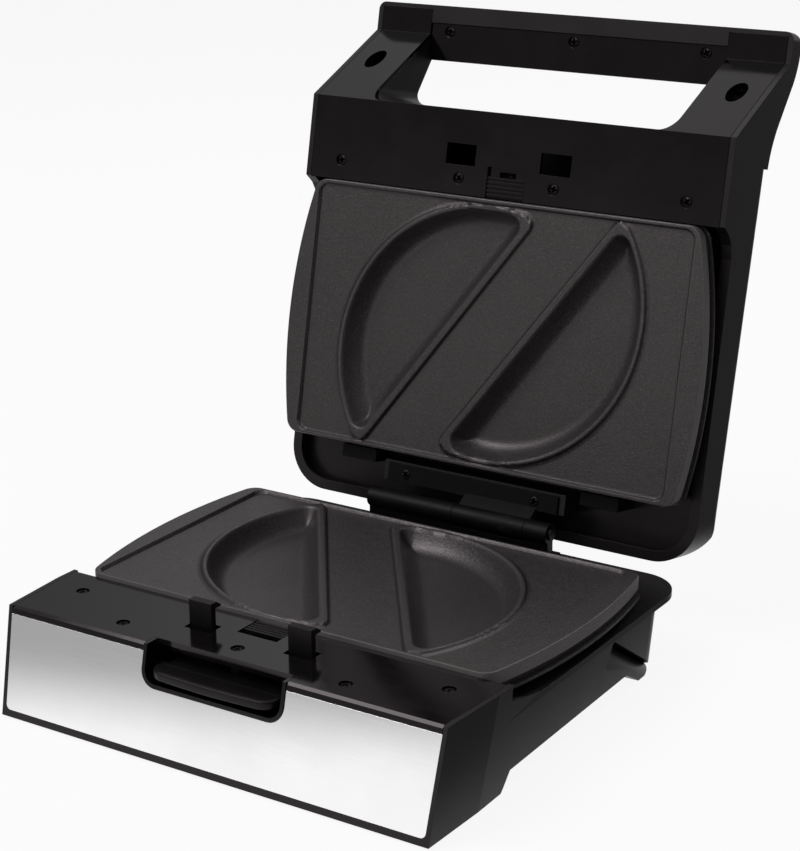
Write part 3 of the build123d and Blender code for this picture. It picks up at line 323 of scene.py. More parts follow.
def makeBracket(look):
    finish = Finish("dark-coated-metal", Specular_IOR_Level=look["gloss"])
    peel = finish.noise(*look["peel"])
    rub = finish.noise(*look["rub"])
    finish.set("Base Color", finish.tint(finish.spread(rub, *look["wear"]), look["colour"], look["rubbed"]))
    finish.set("Roughness", finish.spread(rub, *look["rough"]))
    finish.relief(peel, *look["relief"])
    return finish.material


# the screw's third colour is painted shade for the cross recess and the gap round the head
screwLook = {"colour": (0.020, 0.0185, 0.019), "bare": (0.045, 0.042, 0.042),
             "paintedShade": (0.0012, 0.0010, 0.0011),
             "rub": (500, 3, 0.6), "wear": (0.55, 0.7, 0, 0.7), "inPaintedDriveShade": (0.2, 0.8, 0, 1),
             "rough": (0.3, 0.7, 0.36, 0.56), "relief": (0.01 * mm, 0.12 * mm, 0.3)}


def makeScrew(look):
    finish = Finish("blackened-screw", Metallic=1.0)
    rub = finish.noise(*look["rub"])
    body = finish.tint(finish.spread(rub, *look["wear"]), look["colour"], look["bare"])
    # painted shade darkens the cross recess and the head's edge
    paintedDriveShade = finish.add("ShaderNodeAttribute", {"attribute_name": "paintedDriveShade"}, out="Fac")
    finish.set("Base Color", finish.tint(finish.spread(paintedDriveShade, *look["inPaintedDriveShade"]), body, look["paintedShade"]))
    finish.set("Roughness", finish.spread(rub, *look["rough"]))
    finish.relief(rub, *look["relief"])
    return finish.material


springLook = {"colour": (0.16, 0.155, 0.15), "oiled": (0.07, 0.066, 0.06), "oil": (180, 3),
              "grain": (3000, 1), "wear": (0.4, 0.7, 0, 1), "rough": (0.3, 0.7, 0.25, 0.4),
              "relief": (0.005 * mm, 0.08 * mm, 0.3)}


def makeSpring(look):
    finish = Finish("spring-wire", Metallic=1.0)
    oil = finish.noise(*look["oil"])
    finish.set("Base Color", finish.tint(finish.spread(oil, *look["wear"]), look["colour"], look["oiled"]))
    finish.set("Roughness", finish.spread(oil, *look["rough"]))
    finish.relief(finish.noise(*look["grain"]), *look["relief"])
    return finish.material


rubberLook = {"colour": (0.022, 0.022, 0.022), "dusty": (0.07, 0.068, 0.064), "dust": (130, 4, 0.6),
              "grain": (1800, 2), "wear": (0.5, 0.75, 0, 0.8), "rough": (0.3, 0.7, 0.72, 0.88),
              "relief": (0.05 * mm, 0.25 * mm, 0.6)}


def makeRubber(look):
    finish = Finish("foot-rubber")
    dust = finish.noise(*look["dust"])
    finish.set("Base Color", finish.tint(finish.spread(dust, *look["wear"]), look["colour"], look["dusty"]))
    finish.set("Roughness", finish.spread(dust, *look["rough"]))
    finish.relief(finish.noise(*look["grain"]), *look["relief"])
    return finish.material


lensLook = {"coat": 0.8, "coatRough": 0.04, "ribs": (900, 1, 0.5, (0.2, 1, 1)),
            "wear": (0.35, 0.65, 0, 1), "rough": (0.3, 0.7, 0.12, 0.2),
            "relief": (0.02 * mm, 0.2 * mm, 0.3)}
redLook = {"name": "red-lens", "colour": (0.42, 0.02, 0.012), "deep": (0.22, 0.008, 0.006), **lensLook}
greenLook = {"name": "green-lens", "colour": (0.03, 0.32, 0.07), "deep": (0.012, 0.16, 0.035), **lensLook}


def makeLens(look):
    finish = Finish(look["name"], Coat_Weight=look["coat"], Coat_Roughness=look["coatRough"])
    ribs = finish.noise(*look["ribs"])
    finish.set("Base Color", finish.tint(finish.spread(ribs, *look["wear"]), look["colour"], look["deep"]))
    finish.set("Roughness", finish.spread(ribs, *look["rough"]))
    finish.relief(ribs, *look["relief"])
    return finish.material


controlLook = {"colour": (0.56, 0.56, 0.55), "stained": (0.36, 0.34, 0.31), "stain": (240, 3),
               "wear": (0.45, 0.7, 0, 1), "rough": (0.3, 0.7, 0.28, 0.44),
               "relief": (0.01 * mm, 0.15 * mm, 0.3)}


def makeControl(look):
    finish = Finish("control-metal", Metallic=1.0)
    stain = finish.noise(*look["stain"])
    stained = finish.spread(stain, *look["wear"])
    finish.set("Base Color", finish.tint(stained, look["colour"], look["stained"]))
    finish.set("Roughness", finish.spread(stain, *look["rough"]))
    finish.relief(stain, *look["relief"])
    return finish.material


finishes = {
    "housing_plastic": makeHousing(housingLook),
    "gloss_black": makeGloss(glossLook),
    "dark_plastic": makeDark(darkLook),
    "mirror_steel": makeSteel(steelLook),
    "cast_plate": makePlate(plateLook),
    "bright_sheet": makeSheet(sheetLook),
    "heater_sheath": makeSheath(sheathLook),
    "dark_bracket": makeBracket(bracketLook),
    "screw_steel": makeScrew(screwLook),
    "spring_steel": makeSpring(springLook),
    "foot_rubber": makeRubber(rubberLook),
    "red_lens": makeLens(redLook),
    "green_lens": makeLens(greenLook),
    "control_metal": makeControl(controlLook),
}
print("finishes made:", len(finishes))

nodeSlots = {
    "housing_plastic": ("base_housing", "lid_housing", "bottom_cover"),
    "gloss_black": ("front_deck", "lid_frame", "handle_strip", "latch_pocket"),
    "dark_plastic": ("latch_lever", "lower_release_slider", "upper_release_slider", "cord_gland",
                     "terminal_block"),
    "mirror_steel": ("steel_front_panel", "lid_inlay"),
    "cast_plate": ("lower_plate", "upper_plate"),
    "bright_sheet": ("lower_reflector_tray", "upper_reflector_tray"),
    "heater_sheath": ("lower_heating_element", "upper_heating_element"),
    "dark_bracket": ("hinge_lower_bracket", "hinge_upper_bracket", "lower_plate_clips", "upper_plate_clips"),
    "screw_steel": ("deck_screws", "bottom_cover_screws", "hinge_lower_screws", "hinge_upper_screws",
                    "lid_frame_screws", "arm_screws", "handle_strip_screws", "hinge_pin", "latch_shaft"),
    "spring_steel": ("latch_spring", "lower_slider_spring", "upper_slider_spring"),
    "foot_rubber": ("foot_pads",),
    "red_lens": ("power_lens",),
    "green_lens": ("ready_lens",),
    "control_metal": ("thermal_fuse", "thermostat"),
}


def paintNodes():
    for slot, names in nodeSlots.items():
        for name in names:
            mesh = nodes[name].data
            mesh.materials.clear()
            mesh.materials.append(finishes[slot])


paintNodes()
print("nodes painted")


# pieces are drawn in millimetres, in the frame that the part was laid out in and with the lid closed
layout = {"origin": (0, 179.958, -1), "hinge": (0, 235.6, 57.9), "lidAngle": 101.7, "parting": 59.9}


# from there into the scene, in metres: an upper copy is mirrored first, then a lid piece is turned open
def placing(onLid=False, mirrored=False):
    toFrame = Matrix.Scale(mm, 4) @ Matrix.Translation(-Vector(layout["origin"]))
    if onLid:
        hinge = Matrix.Translation(layout["hinge"])
        opened = Matrix.Rotation(-math.radians(layout["lidAngle"]), 4, "X")
        toFrame = toFrame @ hinge @ opened @ hinge.inverted()
    if mirrored:
        up = Matrix.Translation((0, 0, layout["parting"]))
        toFrame = toFrame @ up @ Matrix.Scale(-1, 4, (0, 0, 1)) @ up.inverted()
    return toFrame


def addPiece(name, mesh, body, slot, replaced, place, sharp=35):
    mesh.transform(place)
    if place.determinant() < 0:
        mesh.flip_normals()
    mesh.polygons.foreach_set("use_smooth", [True] * len(mesh.polygons))
    mesh.set_sharp_from_angle(angle=math.radians(sharp))
    mesh.materials.clear()
    mesh.materials.append(finishes[slot])
    piece = bpy.data.objects.new(name, mesh)
    bpy.context.scene.collection.objects.link(piece)
    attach(piece, body)
    if replaced:
        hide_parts(*replaced)
    return piece


def block(shape, low, high, rounding):
    made = bmesh.ops.create_cube(shape, size=1)["verts"]
    bmesh.ops.scale(shape, vec=Vector(high) - Vector(low), verts=made)
    bmesh.ops.translate(shape, vec=(Vector(low) + Vector(high)) / 2, verts=made)
    edges = list({edge for vert in made for edge in vert.link_edges})
    bmesh.ops.bevel(shape, geom=edges, offset=rounding, segments=2, profile=0.5, affect="EDGES",
                    clamp_overlap=True)


# both plates are one casting: a field with two half-moon bowls, each inside a stepped ridge
plateShape = {
    "front": 53.4, "rear": 207.5, "middle": 137.0,
    "frontHalf": 124.6, "middleHalf": 136.4, "rearHalf": 129.4, "corner": 6.5, "leastCorner": 0.5,
    "top": 59.75, "wallFoot": 52.15, "flangeTop": 48.45, "foot": 47.05,
    "topInset": 0.6, "topRound": 0.18, "footRound": (0.35, 0.4), "undercut": 2.4, "flange": 0.8, "wall": 5.0,
    "field": 2.0, "fieldHalf": 122.8, "lip": 2.4, "lipSoft": 0.75, "fieldCorner": 6.0, "skin": 3.4,
    "moonCentre": (-5.6, 149.8), "moonRadius": 95.4, "chordAngle": 125.2, "chordAway": 24.8, "moonCorner": 7.5,
    "turnAbout": 130.5,      # the second half-moon is the first one turned about this line
    "ridge": 4.6, "rise": 0.4, "step": 2.1, "riseShare": 0.3, "stepSoft": 0.7, "chordSoft": 3,
    "bowl": 12.0, "bowlSkin": 2.4, "bowlRun": 12.0, "bowlCurve": 2.4, "bowlCorner": 7.0,
    "bowlSoft": 0.15, "bowlFrom": 0.5,
    "cell": 0.7, "fieldShare": 0.92, "besideField": 1, "innerShare": 0.985,
    "endRows": (0, 0.08, 0.3, 0.65, 1.1, 1.6, 2.2, 3.0, 4.0, 5.2, 6.5),
    # the next two rows give the painted highlight and shade: their reach, range and fade, the painted sheen on
    # the walls and the painted shade line at each step's foot
    "paintedLightReach": 0.8, "paintedLightRange": (-0.3, 0.12), "paintedHighlightFade": (9, 3), "paintedWallSheen": 0.3,
    "paintedStepShade": 0.3, "paintedShadeOut": 0.5, "paintedShadeWidth": 0.7,
    "tabX": 81.0, "tabHalf": 9.0, "tabRoot": 3, "tabEnd": 213.3, "tabThick": 1.6, "tabRound": 0.35,
    "catch": (((-7, 54.0, 42.1), (7, 61.4, 44.6)), ((-7, 58.4, 42.5), (7, 61.4, 50.0))), "catchRound": 0.4,
}


# rises from 0 to 1 between -half and half
def softStep(distance, half):
    share = np.clip(0.5 + distance / (2 * half), 0, 1)
    return share * share * (3 - 2 * share)


# how far inside a half-moon a point lies, and whether its arc is the nearer side; the outline is drawn in
# by inset and its two corners are rounded
def insideMoon(p, x, y, side, inset, corner):
    if side > 0:
        x, y = -x, 2 * p["turnAbout"] - y
    angle = math.radians(p["chordAngle"])
    dx, dy = x - p["moonCentre"][0], y - p["moonCentre"][1]
    along = np.abs(dx * math.cos(angle) + dy * math.sin(angle))
    away = dy * math.cos(angle) - dx * math.sin(angle)
    chord = p["chordAway"] + inset - away
    arc = np.hypot(dx, dy) - p["moonRadius"] + inset
    cornerAway = p["chordAway"] + inset + corner
    cornerAlong = math.sqrt((p["moonRadius"] - inset - corner) ** 2 - cornerAway ** 2)
    nearCorner = (along > cornerAlong) & (away * cornerAlong < cornerAway * along)
    rounded = np.hypot(along - cornerAlong, away - cornerAway) - corner
    return -np.where(nearCorner, rounded, np.maximum(chord, arc)), softStep(arc - chord, p["chordSoft"])


def plateHeight(p, x, y):
    halfLength = (p["rear"] - p["front"]) / 2 - p["lip"]
    overX = np.abs(x) - p["fieldHalf"] + p["fieldCorner"]
    overY = np.abs(y - (p["front"] + p["rear"]) / 2) - halfLength + p["fieldCorner"]
    rim = np.hypot(np.maximum(overX, 0), np.maximum(overY, 0)) + np.minimum(np.maximum(overX, overY), 0)
    level = -p["field"] * (1 - softStep(rim - p["fieldCorner"], p["lipSoft"]))
    for side in (-1, 1):
        inside, onArc = insideMoon(p, x, y, side, 0, p["moonCorner"])
        rise = softStep(inside - p["rise"], p["stepSoft"])
        step = softStep(inside - p["step"], p["stepSoft"])
        rise = onArc * (p["riseShare"] * rise + (1 - p["riseShare"]) * step) + (1 - onArc) * rise
        level = level * (1 - rise)
        past = insideMoon(p, x, y, side, p["ridge"], p["bowlCorner"])[0]
        share = np.clip((past + np.sqrt(past ** 2 + p["bowlSoft"])) / 2 / p["bowlRun"], 0, 1)
        share = np.where(inside > p["bowlFrom"], share, 0)
        level = level - p["bowl"] * (1 - (1 - share) ** p["bowlCurve"])
    return p["top"] + level


# half width of the plate at y, with its outline grown by grow; the side is an arc through three points
def plateHalf(p, y, grow):
    ax, ay = p["frontHalf"] + grow, p["front"] - grow
    bx, by = p["middleHalf"] + grow, p["middle"]
    cx, cy = p["rearHalf"] + grow, p["rear"] + grow
    d = 2 * (ax * (by - cy) + bx * (cy - ay) + cx * (ay - by))
    a2, b2, c2 = ax * ax + ay * ay, bx * bx + by * by, cx * cx + cy * cy
    ux = (a2 * (by - cy) + b2 * (cy - ay) + c2 * (ay - by)) / d
    uy = (a2 * (cx - bx) + b2 * (ax - cx) + c2 * (bx - ax)) / d
    half = ux + np.sqrt(math.hypot(ax - ux, ay - uy) ** 2 - (y - uy) ** 2)
    corner = max(p["corner"] + grow, p["leastCorner"])
    edge = np.clip(np.minimum(y - ay, cy - y), 0, corner)
    return half - corner + np.sqrt(np.maximum(corner ** 2 - (corner - edge) ** 2, 0))


def plateGrid(p, rows, columns, grow):
    front, rear = p["front"] - grow, p["rear"] + grow
    y = front + (rear - front) * rows
    # columns run straight beside the field's sides, and only the rim's own columns follow the outline
    half = plateHalf(p, y, grow)[:, None]
    inner = np.minimum(p["fieldHalf"] + p["besideField"], half * p["innerShare"])
    share = np.abs(columns)[None, :]
    split = p["fieldShare"]
    x = np.where(share < split, share / split * inner, inner + (share - split) / (1 - split) * (half - inner))
    return x * np.sign(columns)[None, :], np.repeat(y[:, None], len(columns), 1)


# the outer points of a grid, in order around it
def around(index):
    return np.concatenate([index[0], index[1:-1, -1], index[-1, ::-1], index[-2:0:-1, 0]])


# painted light that the finish reads: above zero a painted highlight on ridges and on the outer walls, below
# zero painted shade in corners and in a line at the foot of each ridge's step
def paintedLightValues(p, x, y):
    reach = p["paintedLightReach"]
    sides = ((1, 0), (-1, 0), (0, 1), (0, -1))
    nearby = sum(plateHeight(p, x + dx * reach, y + dy * reach) for dx, dy in sides)
    values = np.clip(plateHeight(p, x, y) - nearby / 4, *p["paintedLightRange"])
    fromEnd = np.minimum(y - p["front"], p["rear"] - y)
    fade, width = p["paintedHighlightFade"]         # the painted highlight on the ridges fades out where they meet the rim
    values = np.where(values > 0, values * softStep(fromEnd - fade, width), values)
    for side in (-1, 1):
        inside, onArc = insideMoon(p, x, y, side, 0, p["moonCorner"])
        # a line of painted shade along the foot of each ridge's step
        away = (inside - p["step"] * onArc + p["paintedShadeOut"]) / p["paintedShadeWidth"]
        values = values - p["paintedStepShade"] * np.exp(-away ** 2)
    return values.reshape(-1)


def plateMesh(p, name):
    length = p["rear"] - p["front"]
    near = np.array(p["endRows"][:-1]) / length
    inner = p["endRows"][-1] / length
    between = np.linspace(inner, 1 - inner, 2 * int(length / p["cell"] / 2) + 1)
    rows = np.concatenate([near, between, 1 - near[::-1]])
    columns = np.linspace(-1, 1, 2 * int(p["middleHalf"] / p["cell"]) + 1)
    count = len(rows) * len(columns)
    index = np.arange(count).reshape(len(rows), len(columns))
    border = around(index)
    x, y = plateGrid(p, rows, columns, -p["topInset"])
    verts = [np.stack([x, y, plateHeight(p, x, y)], -1).reshape(-1, 3)]
    paintedLights = paintedLightValues(p, x, y)
    quads = [np.stack([index[:-1, :-1], index[:-1, 1:], index[1:, 1:], index[1:, :-1]], -1).reshape(-1, 4)]
    last = border
    top, foot, ceiling = p["top"], p["foot"], p["top"] - p["field"] - p["skin"]
    tuck, rise = p["footRound"]
    walls = [(-p["topRound"], top - p["topRound"]), (0, top - p["topInset"]), (0, p["wallFoot"] + rise),
             (-tuck, p["wallFoot"])]
    below = [(-p["undercut"], p["wallFoot"]), (-p["undercut"], p["flangeTop"]), (p["flange"], p["flangeTop"]),
             (p["flange"], foot), (-p["wall"], foot), (-p["wall"], ceiling)]
    for grow, z in walls + below:
        x, y = plateGrid(p, rows, columns, grow)
        x, y = x.reshape(-1)[border], y.reshape(-1)[border]
        if grow > 0:
            y = np.maximum(y, p["front"])
        verts.append(np.stack([x, y, np.full(len(x), z)], -1))
        ring = np.arange(count, count + len(border))
        quads.append(np.stack([ring, np.roll(ring, -1), np.roll(last, -1), last], -1))
        last, count = ring, count + len(border)
    # underside, a little below the top all over, in cells twice as large
    x, y = plateGrid(p, rows[::2], columns[::2], -p["wall"])
    under = np.minimum(ceiling, plateHeight(p, x, y) - p["bowlSkin"])
    verts.append(np.stack([x, y, under], -1).reshape(-1, 3))
    lower = np.arange(x.size).reshape(x.shape) + count
    edge = around(lower)
    cells = np.stack([lower[:-1, :-1], lower[1:, :-1], lower[1:, 1:], lower[:-1, 1:]], -1)
    quads.append(cells.reshape(-1, 4))
    faces = np.concatenate(quads).tolist()
    faces += np.stack([edge, np.roll(edge, -1), np.roll(last, -2)[::2], np.roll(last, -1)[::2], last[::2]],
                      -1).tolist()
    mesh = bpy.data.meshes.new(name)
    mesh.from_pydata(np.concatenate(verts).tolist(), [], faces)
    mesh.update()
    values = np.zeros(len(mesh.vertices), np.float32)
    values[:len(paintedLights)] = paintedLights
    # the outer walls are tinted lighter, a painted sheen
    values[len(paintedLights):len(paintedLights) + len(walls) * len(border)] = p["paintedWallSheen"]
    mesh.attributes.new("paintedLight", "FLOAT", "POINT").data.foreach_set("value", values)
    shape = bmesh.new()
    shape.from_mesh(mesh)
    for side in (-1, 1):
        block(shape, (side * p["tabX"] - p["tabHalf"], p["rear"] - p["tabRoot"], foot),
              (side * p["tabX"] + p["tabHalf"], p["tabEnd"], foot + p["tabThick"]), p["tabRound"])
    for low, high in p["catch"]:           # where the slider's tongue holds
        block(shape, low, high, p["catchRound"])
    shape.to_mesh(mesh)
    shape.free()
    return mesh


addPiece("lower-plate-cast", plateMesh(plateShape, "lower-plate"), "lower_cooking_plate", "cast_plate",
         ["lower_plate"], placing())
addPiece("upper-plate-cast", plateMesh(plateShape, "upper-plate"), "upper_cooking_plate", "cast_plate",
         ["upper_plate"], placing(True, True))
print("plates made")


# the latch's thumb pad, dished inside its rim
padShape = {"half": 38.2, "front": -7.8, "bulge": 1.0, "corner": 9.0, "rear": 6.6, "foot": 41.7, "top": 46.3,
            "rounding": 0.9, "sharpEdge": 0.6, "rim": 1.6, "dishSlope": 0.8, "dish": 0.3,
            "cornerSteps": 10, "frontSteps": 12}


def makePad(p):
    # a front edge that bulges a little, between two round corners
    straight = p["half"] - p["corner"]
    bow = [2 * i / p["frontSteps"] - 1 for i in range(p["frontSteps"] + 1)]
    front = [(straight * share, p["front"] + p["bulge"] * share ** 2) for share in bow]
    turns = [math.radians(90 * (i + 1) / p["cornerSteps"]) for i in range(p["cornerSteps"])]
    corner = [(straight + p["corner"] * math.sin(turn),
               p["front"] + p["bulge"] + p["corner"] * (1 - math.cos(turn))) for turn in turns]
    outline = [(-x, y) for x, y in corner[::-1]] + front + corner
    outline += [(p["half"], p["rear"]), (-p["half"], p["rear"])]
    shape = bmesh.new()
    face = shape.faces.new([shape.verts.new((x, y, p["foot"])) for x, y in outline])
    upper = bmesh.ops.extrude_face_region(shape, geom=[face])["geom"]
    bmesh.ops.translate(shape, vec=(0, 0, p["top"] - p["foot"]),
                        verts=[item for item in upper if isinstance(item, bmesh.types.BMVert)])
    bmesh.ops.recalc_face_normals(shape, faces=shape.faces[:])
    sharpEdges = [edge for edge in shape.edges if edge.calc_face_angle(0) > p["sharpEdge"]]
    bmesh.ops.bevel(shape, geom=sharpEdges, offset=p["rounding"], segments=3, profile=0.5, affect="EDGES",
                    clamp_overlap=True)
    topFace = max(shape.faces, key=lambda face: (round(face.calc_center_median().z, 3), face.calc_area()))
    bmesh.ops.inset_region(shape, faces=[topFace], thickness=p["rim"], depth=0)
    bmesh.ops.inset_region(shape, faces=[topFace], thickness=p["dishSlope"], depth=-p["dish"])
    # extruding leaves the faces in a new order each time, so they are sorted by their points
    shape.verts.index_update()
    faces = [[vert.index for vert in face.verts] for face in shape.faces]
    faces = sorted(face[face.index(min(face)):] + face[:face.index(min(face))] for face in faces)
    mesh = bpy.data.meshes.new("latch-pad")
    mesh.from_pydata([tuple(vert.co) for vert in shape.verts], [], faces)
    shape.free()
    addPiece("latch-pad", mesh, "latch", "dark_plastic", (), placing())


makePad(padShape)
print("latch pad made")


# the springs, wound as coils
coilSteps = 20       # points in a turn
coils = {
    "lower-slider-coil": {"body": "base", "node": "lower_slider_spring", "from": (0, 31.1, 50.4),
                          "to": (0, 43.2, 50.4), "radius": 1.5, "wire": 0.3, "turns": 7, "onLid": False,
                          "joint": "lower_release", "keep": 0.57},
    "upper-slider-coil": {"body": "lid", "node": "upper_slider_spring", "from": (0, 31.1, 47.5),
                          "to": (0, 43.2, 47.5), "radius": 1.5, "wire": 0.3, "turns": 7, "onLid": True,
                          "joint": "upper_release", "keep": 0.57},
    "latch-coil": {"body": "base", "node": "latch_spring", "from": (-42.6, 26.6, 44.0),
                   "to": (-40.8, 26.6, 44.0), "radius": 2.8, "wire": 0.3, "turns": 2.6, "onLid": False},
}


def coilMesh(coil, name):
    start, end = Vector(coil["from"]), Vector(coil["to"])
    along = (end - start).normalized()
    first = along.orthogonal().normalized()
    second = along.cross(first)
    steps = int(coil["turns"] * coilSteps)
    curve = bpy.data.curves.new(name, "CURVE")
    curve.dimensions = "3D"
    curve.bevel_depth = coil["wire"]
    curve.bevel_resolution = 3
    curve.use_fill_caps = True
    line = curve.splines.new("POLY")
    line.points.add(steps)
    for i in range(steps + 1):
        turn = 2 * math.pi * coil["turns"] * i / steps
        spoke = first * math.cos(turn) + second * math.sin(turn)
        line.points[i].co = (*(start.lerp(end, i / steps) + spoke * coil["radius"]), 1)
    holder = bpy.data.objects.new(name, curve)
    mesh = bpy.data.meshes.new_from_object(holder)
    bpy.data.objects.remove(holder)
    return mesh


for name, coil in coils.items():
    place = placing(coil["onLid"], coil["onLid"])
    piece = addPiece(name, coilMesh(coil, name), coil["body"], "spring_steel", [coil["node"]], place)
    if "joint" in coil:
        held, free = place @ Vector(coil["from"]), place @ Vector(coil["to"])
        free - held
        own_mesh(piece)
print("springs made")


# screws with domed heads and cross recesses
screwShape = {"radius": 2.9, "dome": 0.95, "edge": 0.2, "crown": 2.4, "arm": 1.9, "armSoft": 0.3,
              "slot": 0.5, "slotSoft": 0.16, "depth": 0.8, "paintedShadeFrom": 0.93, "paintedShadeSoft": 0.12,
              "shank": 1.5, "length": 5.0, "rings": 16, "ringSpacing": 0.8, "spokes": 64,
              "turns": (0.7, 1.9, 0.37), "sharp": 50}
screwSets = {
    "deck_screws": {"body": "base", "seat": 56.1, "down": False, "places":
                    [(-114.3, 34.5), (114.3, 34.5), (-69.0, 13.4), (69.0, 13.4), (0, 19.0)]},
    "hinge_lower_screws": {"body": "base", "seat": 42.6, "down": False, "places":
                           [(-46.0, 226.0), (41.0, 226.0)]},
    "bottom_cover_screws": {"body": "base", "seat": 10.7, "down": True, "places":
                            [(-91.5, 78.5), (-91.5, 165.5), (91.5, 78.5), (91.5, 165.5)]},
    "lid_frame_screws": {"body": "lid", "seat": 66.6, "down": True, "places":
                         [(-113.0, 41.3), (113.0, 41.3), (-31.1, 43.5), (31.1, 43.5)]},
    "handle_strip_screws": {"body": "lid", "seat": 130.0, "down": True, "places":
                            [(-85.2, -41.3), (0, -41.3), (85.2, -41.3)]},
    "arm_screws": {"body": "lid", "seat": 118.0, "down": True, "places": [(-118.9, -20.3), (118.9, -20.3)]},
    "hinge_upper_screws": {"body": "lid", "seat": 66.4, "down": True, "places":
                           [(-46.0, 220.7), (41.0, 220.7)]},
}


# one screw's points and faces, and how much painted shade lies on each point: in the cross recess, in a ring
# round the head's edge and all over the shank
def screwParts(p):
    radii = np.linspace(0, 1, p["rings"] + 1)[1:] ** p["ringSpacing"] * p["radius"]
    turn = np.arange(p["spokes"]) * 2 * math.pi / p["spokes"]
    x = np.concatenate([[0], np.outer(radii, np.cos(turn)).reshape(-1)])
    y = np.concatenate([[0], np.outer(radii, np.sin(turn)).reshape(-1)])
    z = p["edge"] + (p["dome"] - p["edge"]) * (1 - (np.hypot(x, y) / p["radius"]) ** p["crown"])
    bars = [softStep(p["slot"] - np.abs(u), p["slotSoft"]) * softStep(p["arm"] - np.abs(v), p["armSoft"])
            for u, v in ((x, y), (y, x))]
    cross = np.maximum(*bars)
    verts = [np.stack([x, y, z - p["depth"] * cross], -1)]
    # painted shade in the cross and in a ring round the head's edge
    paintedShade = np.maximum(cross, softStep(np.hypot(x, y) - p["radius"] * p["paintedShadeFrom"], p["paintedShadeSoft"]))
    for radius, height in ((p["radius"], 0.0), (p["shank"], 0.0), (p["shank"], -p["length"])):
        level = np.full(p["spokes"], height)
        verts.append(np.stack([radius * np.cos(turn), radius * np.sin(turn), level], -1))
    rings = [1 + k * p["spokes"] + np.arange(p["spokes"]) for k in range(p["rings"] + 3)]
    faces = np.stack([np.zeros(p["spokes"], int), rings[0], np.roll(rings[0], -1)], -1).tolist()
    for ring, following in zip(rings, rings[1:]):
        faces += np.stack([ring, following, np.roll(following, -1), np.roll(ring, -1)], -1).tolist()
    faces.append(rings[-1][::-1].tolist())
    verts = np.concatenate(verts)
    return verts, faces, np.concatenate([paintedShade, np.ones(len(verts) - len(paintedShade))])


def makeScrews(sets, p):
    head, faces, paintedShade = screwParts(p)
    across, along, up = head.T
    first, perScrew, perLetter = p["turns"]
    for name, group in sets.items():
        verts, quads = [], []
        for i, (x, y) in enumerate(group["places"]):
            turn = first + perScrew * i + perLetter * len(name)       # no two crosses stand alike
            c, n = math.cos(turn), math.sin(turn)
            spun = np.stack([across * c - along * n, across * n + along * c, up], -1)
            if group["down"]:
                spun = spun * (1, -1, -1)
            quads += [[index + len(head) * i for index in face] for face in faces]
            verts.append(spun + (x, y, group["seat"]))
        mesh = bpy.data.meshes.new(name)
        mesh.from_pydata(np.concatenate(verts).tolist(), [], quads)
        values = np.tile(paintedShade, len(group["places"])).astype(np.float32)
        mesh.attributes.new("paintedDriveShade", "FLOAT", "POINT").data.foreach_set("value", values)
        addPiece(name.replace("_", "-"), mesh, group["body"], "screw_steel", [name],
                 placing(group["body"] == "lid"), p["sharp"])


makeScrews(screwSets, screwShape)
print("screws made")


# what glossy surfaces see: the room's sides are parts of a direction's length, the floor's are metres
studio = {
    "floor": (0.86, 0.86, 0.86), "floorRough": 0.9, "floorHalf": 6, "floorGap": 0.0002,
    "whiteShare": 0.9, "world": 0.27, "grey": 0.32, "dark": 0.93, "darkRoom": 0.85,
    "greyFloor": (-0.42, -0.12), "darkFloor": (0.11, 0.17),
    "horizon": (0.05, 0.16), "room": 0.25, "ceiling": (0.28, 0.45), "ceilingGain": 0.45,
    "greySide": (-0.72, -0.5), "rightSide": (0.25, 0.5),
    "aim": (0, 0, 0.12),
    "lamps": {
        "key": {"place": (-0.9, -1.1, 1.9), "size": 1.3, "power": 26},
        "fill": {"place": (1.5, -0.6, 1.2), "size": 1.4, "power": 2.2},
        "rim": {"place": (0.2, 1.6, 1.7), "size": 1.2, "power": 14},
    },
}


def makeLamp(name, lamp, aim):
    data = bpy.data.lights.new(name, "AREA")
    data.energy = lamp["power"]
    data.size = lamp["size"]
    light = bpy.data.objects.new(name, data)
    light.location = lamp["place"]
    light.rotation_euler = (Vector(aim) - Vector(lamp["place"])).to_track_quat("-Z", "Y").to_euler()
    bpy.context.scene.collection.objects.link(light)


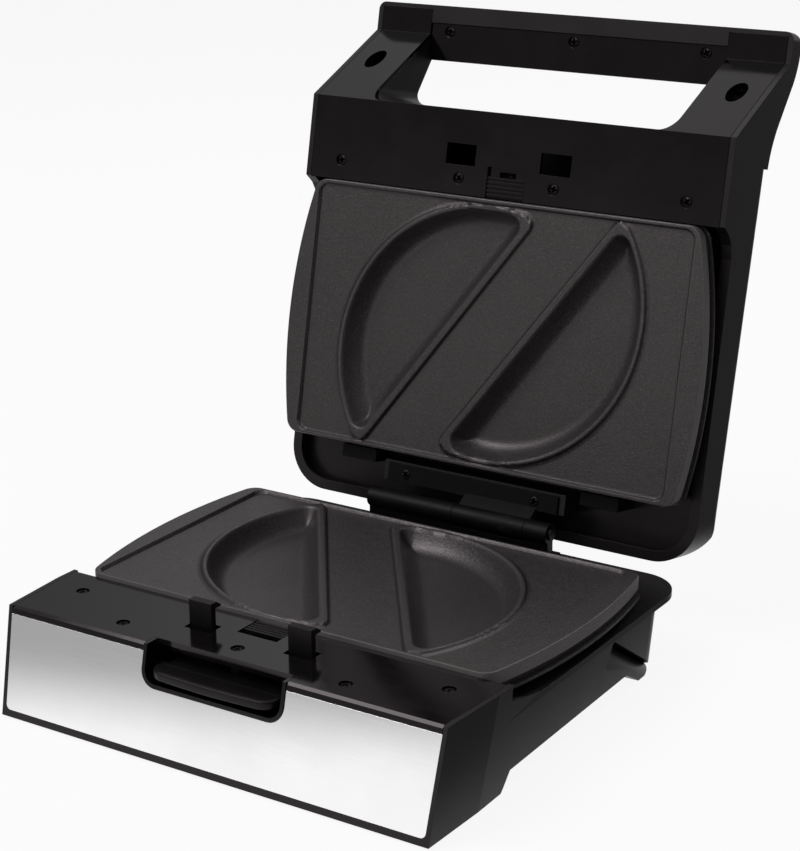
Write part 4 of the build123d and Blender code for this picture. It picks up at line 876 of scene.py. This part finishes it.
def makeFloor(setup):
    mesh = bpy.data.meshes.new("floor")
    shape = bmesh.new()
    bmesh.ops.create_grid(shape, x_segments=1, y_segments=1, size=setup["floorHalf"])
    shape.to_mesh(mesh)
    shape.free()
    floor = bpy.data.objects.new("floor", mesh)
    floor.location = (0, 0, cadBox[0][2] - setup["floorGap"])
    bpy.context.scene.collection.objects.link(floor)
    paper = Finish("floor-paper", Base_Color=setup["floor"], Roughness=setup["floorRough"])
    # mostly white where the picture or a mirror looks at it, with its shadow kept; what a mirror sees
    # of it turns grey to the left and dark to the right
    x = paper.along("X", "Object")
    glossy = paper.rays("Is Glossy Ray")
    grey = paper.spread(x, *setup["greyFloor"], 1 - setup["grey"], 0)
    dark = paper.spread(x, *setup["darkFloor"], 0, setup["dark"])
    white = paper.add("ShaderNodeEmission", None, {"Strength": 1 - (grey + dark) * glossy})
    seen = paper.add("ShaderNodeMath", {"operation": "MAXIMUM"}, {0: paper.rays("Is Camera Ray"), 1: glossy})
    mix = paper.add("ShaderNodeMixShader", None,
                    {0: seen * setup["whiteShare"], 1: Wire(paper, paper.shader.outputs[0]), 2: white})
    paper.give(paper.tree.nodes["Material Output"].inputs["Surface"], mix)
    mesh.materials.append(paper.material)


def makeWorld(setup):
    world = bpy.data.worlds.new("studio")
    bpy.context.scene.world = world
    sky = Board(world)
    x, z = sky.along("X", "Generated"), sky.along("Z", "Generated")
    # gloss sees a white horizon, a dimmer room over it, a grey side on the left and a dark one on the right
    room = sky.spread(z, *setup["horizon"], 1, setup["room"])
    ceiling = sky.spread(z, *setup["ceiling"], 0, setup["ceilingGain"])
    left = sky.spread(x, *setup["greySide"], setup["grey"], 1)
    right = sky.spread(x, *setup["rightSide"], 1, 1 - setup["darkRoom"])
    light = sky.add("ShaderNodeMix", None, {"Factor": sky.rays("Is Glossy Ray"), "A": setup["world"],
                                            "B": (room + ceiling) * (left * right)})
    level = sky.add("ShaderNodeMix", None, {"Factor": sky.rays("Is Camera Ray"), "A": light, "B": 1.0})
    background = sky.tree.nodes["Background"]
    sky.give(background.inputs["Strength"], level)
    sky.give(background.inputs["Color"], (1, 1, 1))


def makeStudio(setup):
    for name, lamp in setup["lamps"].items():
        makeLamp(name, lamp, setup["aim"])
    makeFloor(setup)
    makeWorld(setup)
    bpy.context.scene.view_settings.view_transform = "Standard"


makeStudio(studio)
print("studio made")
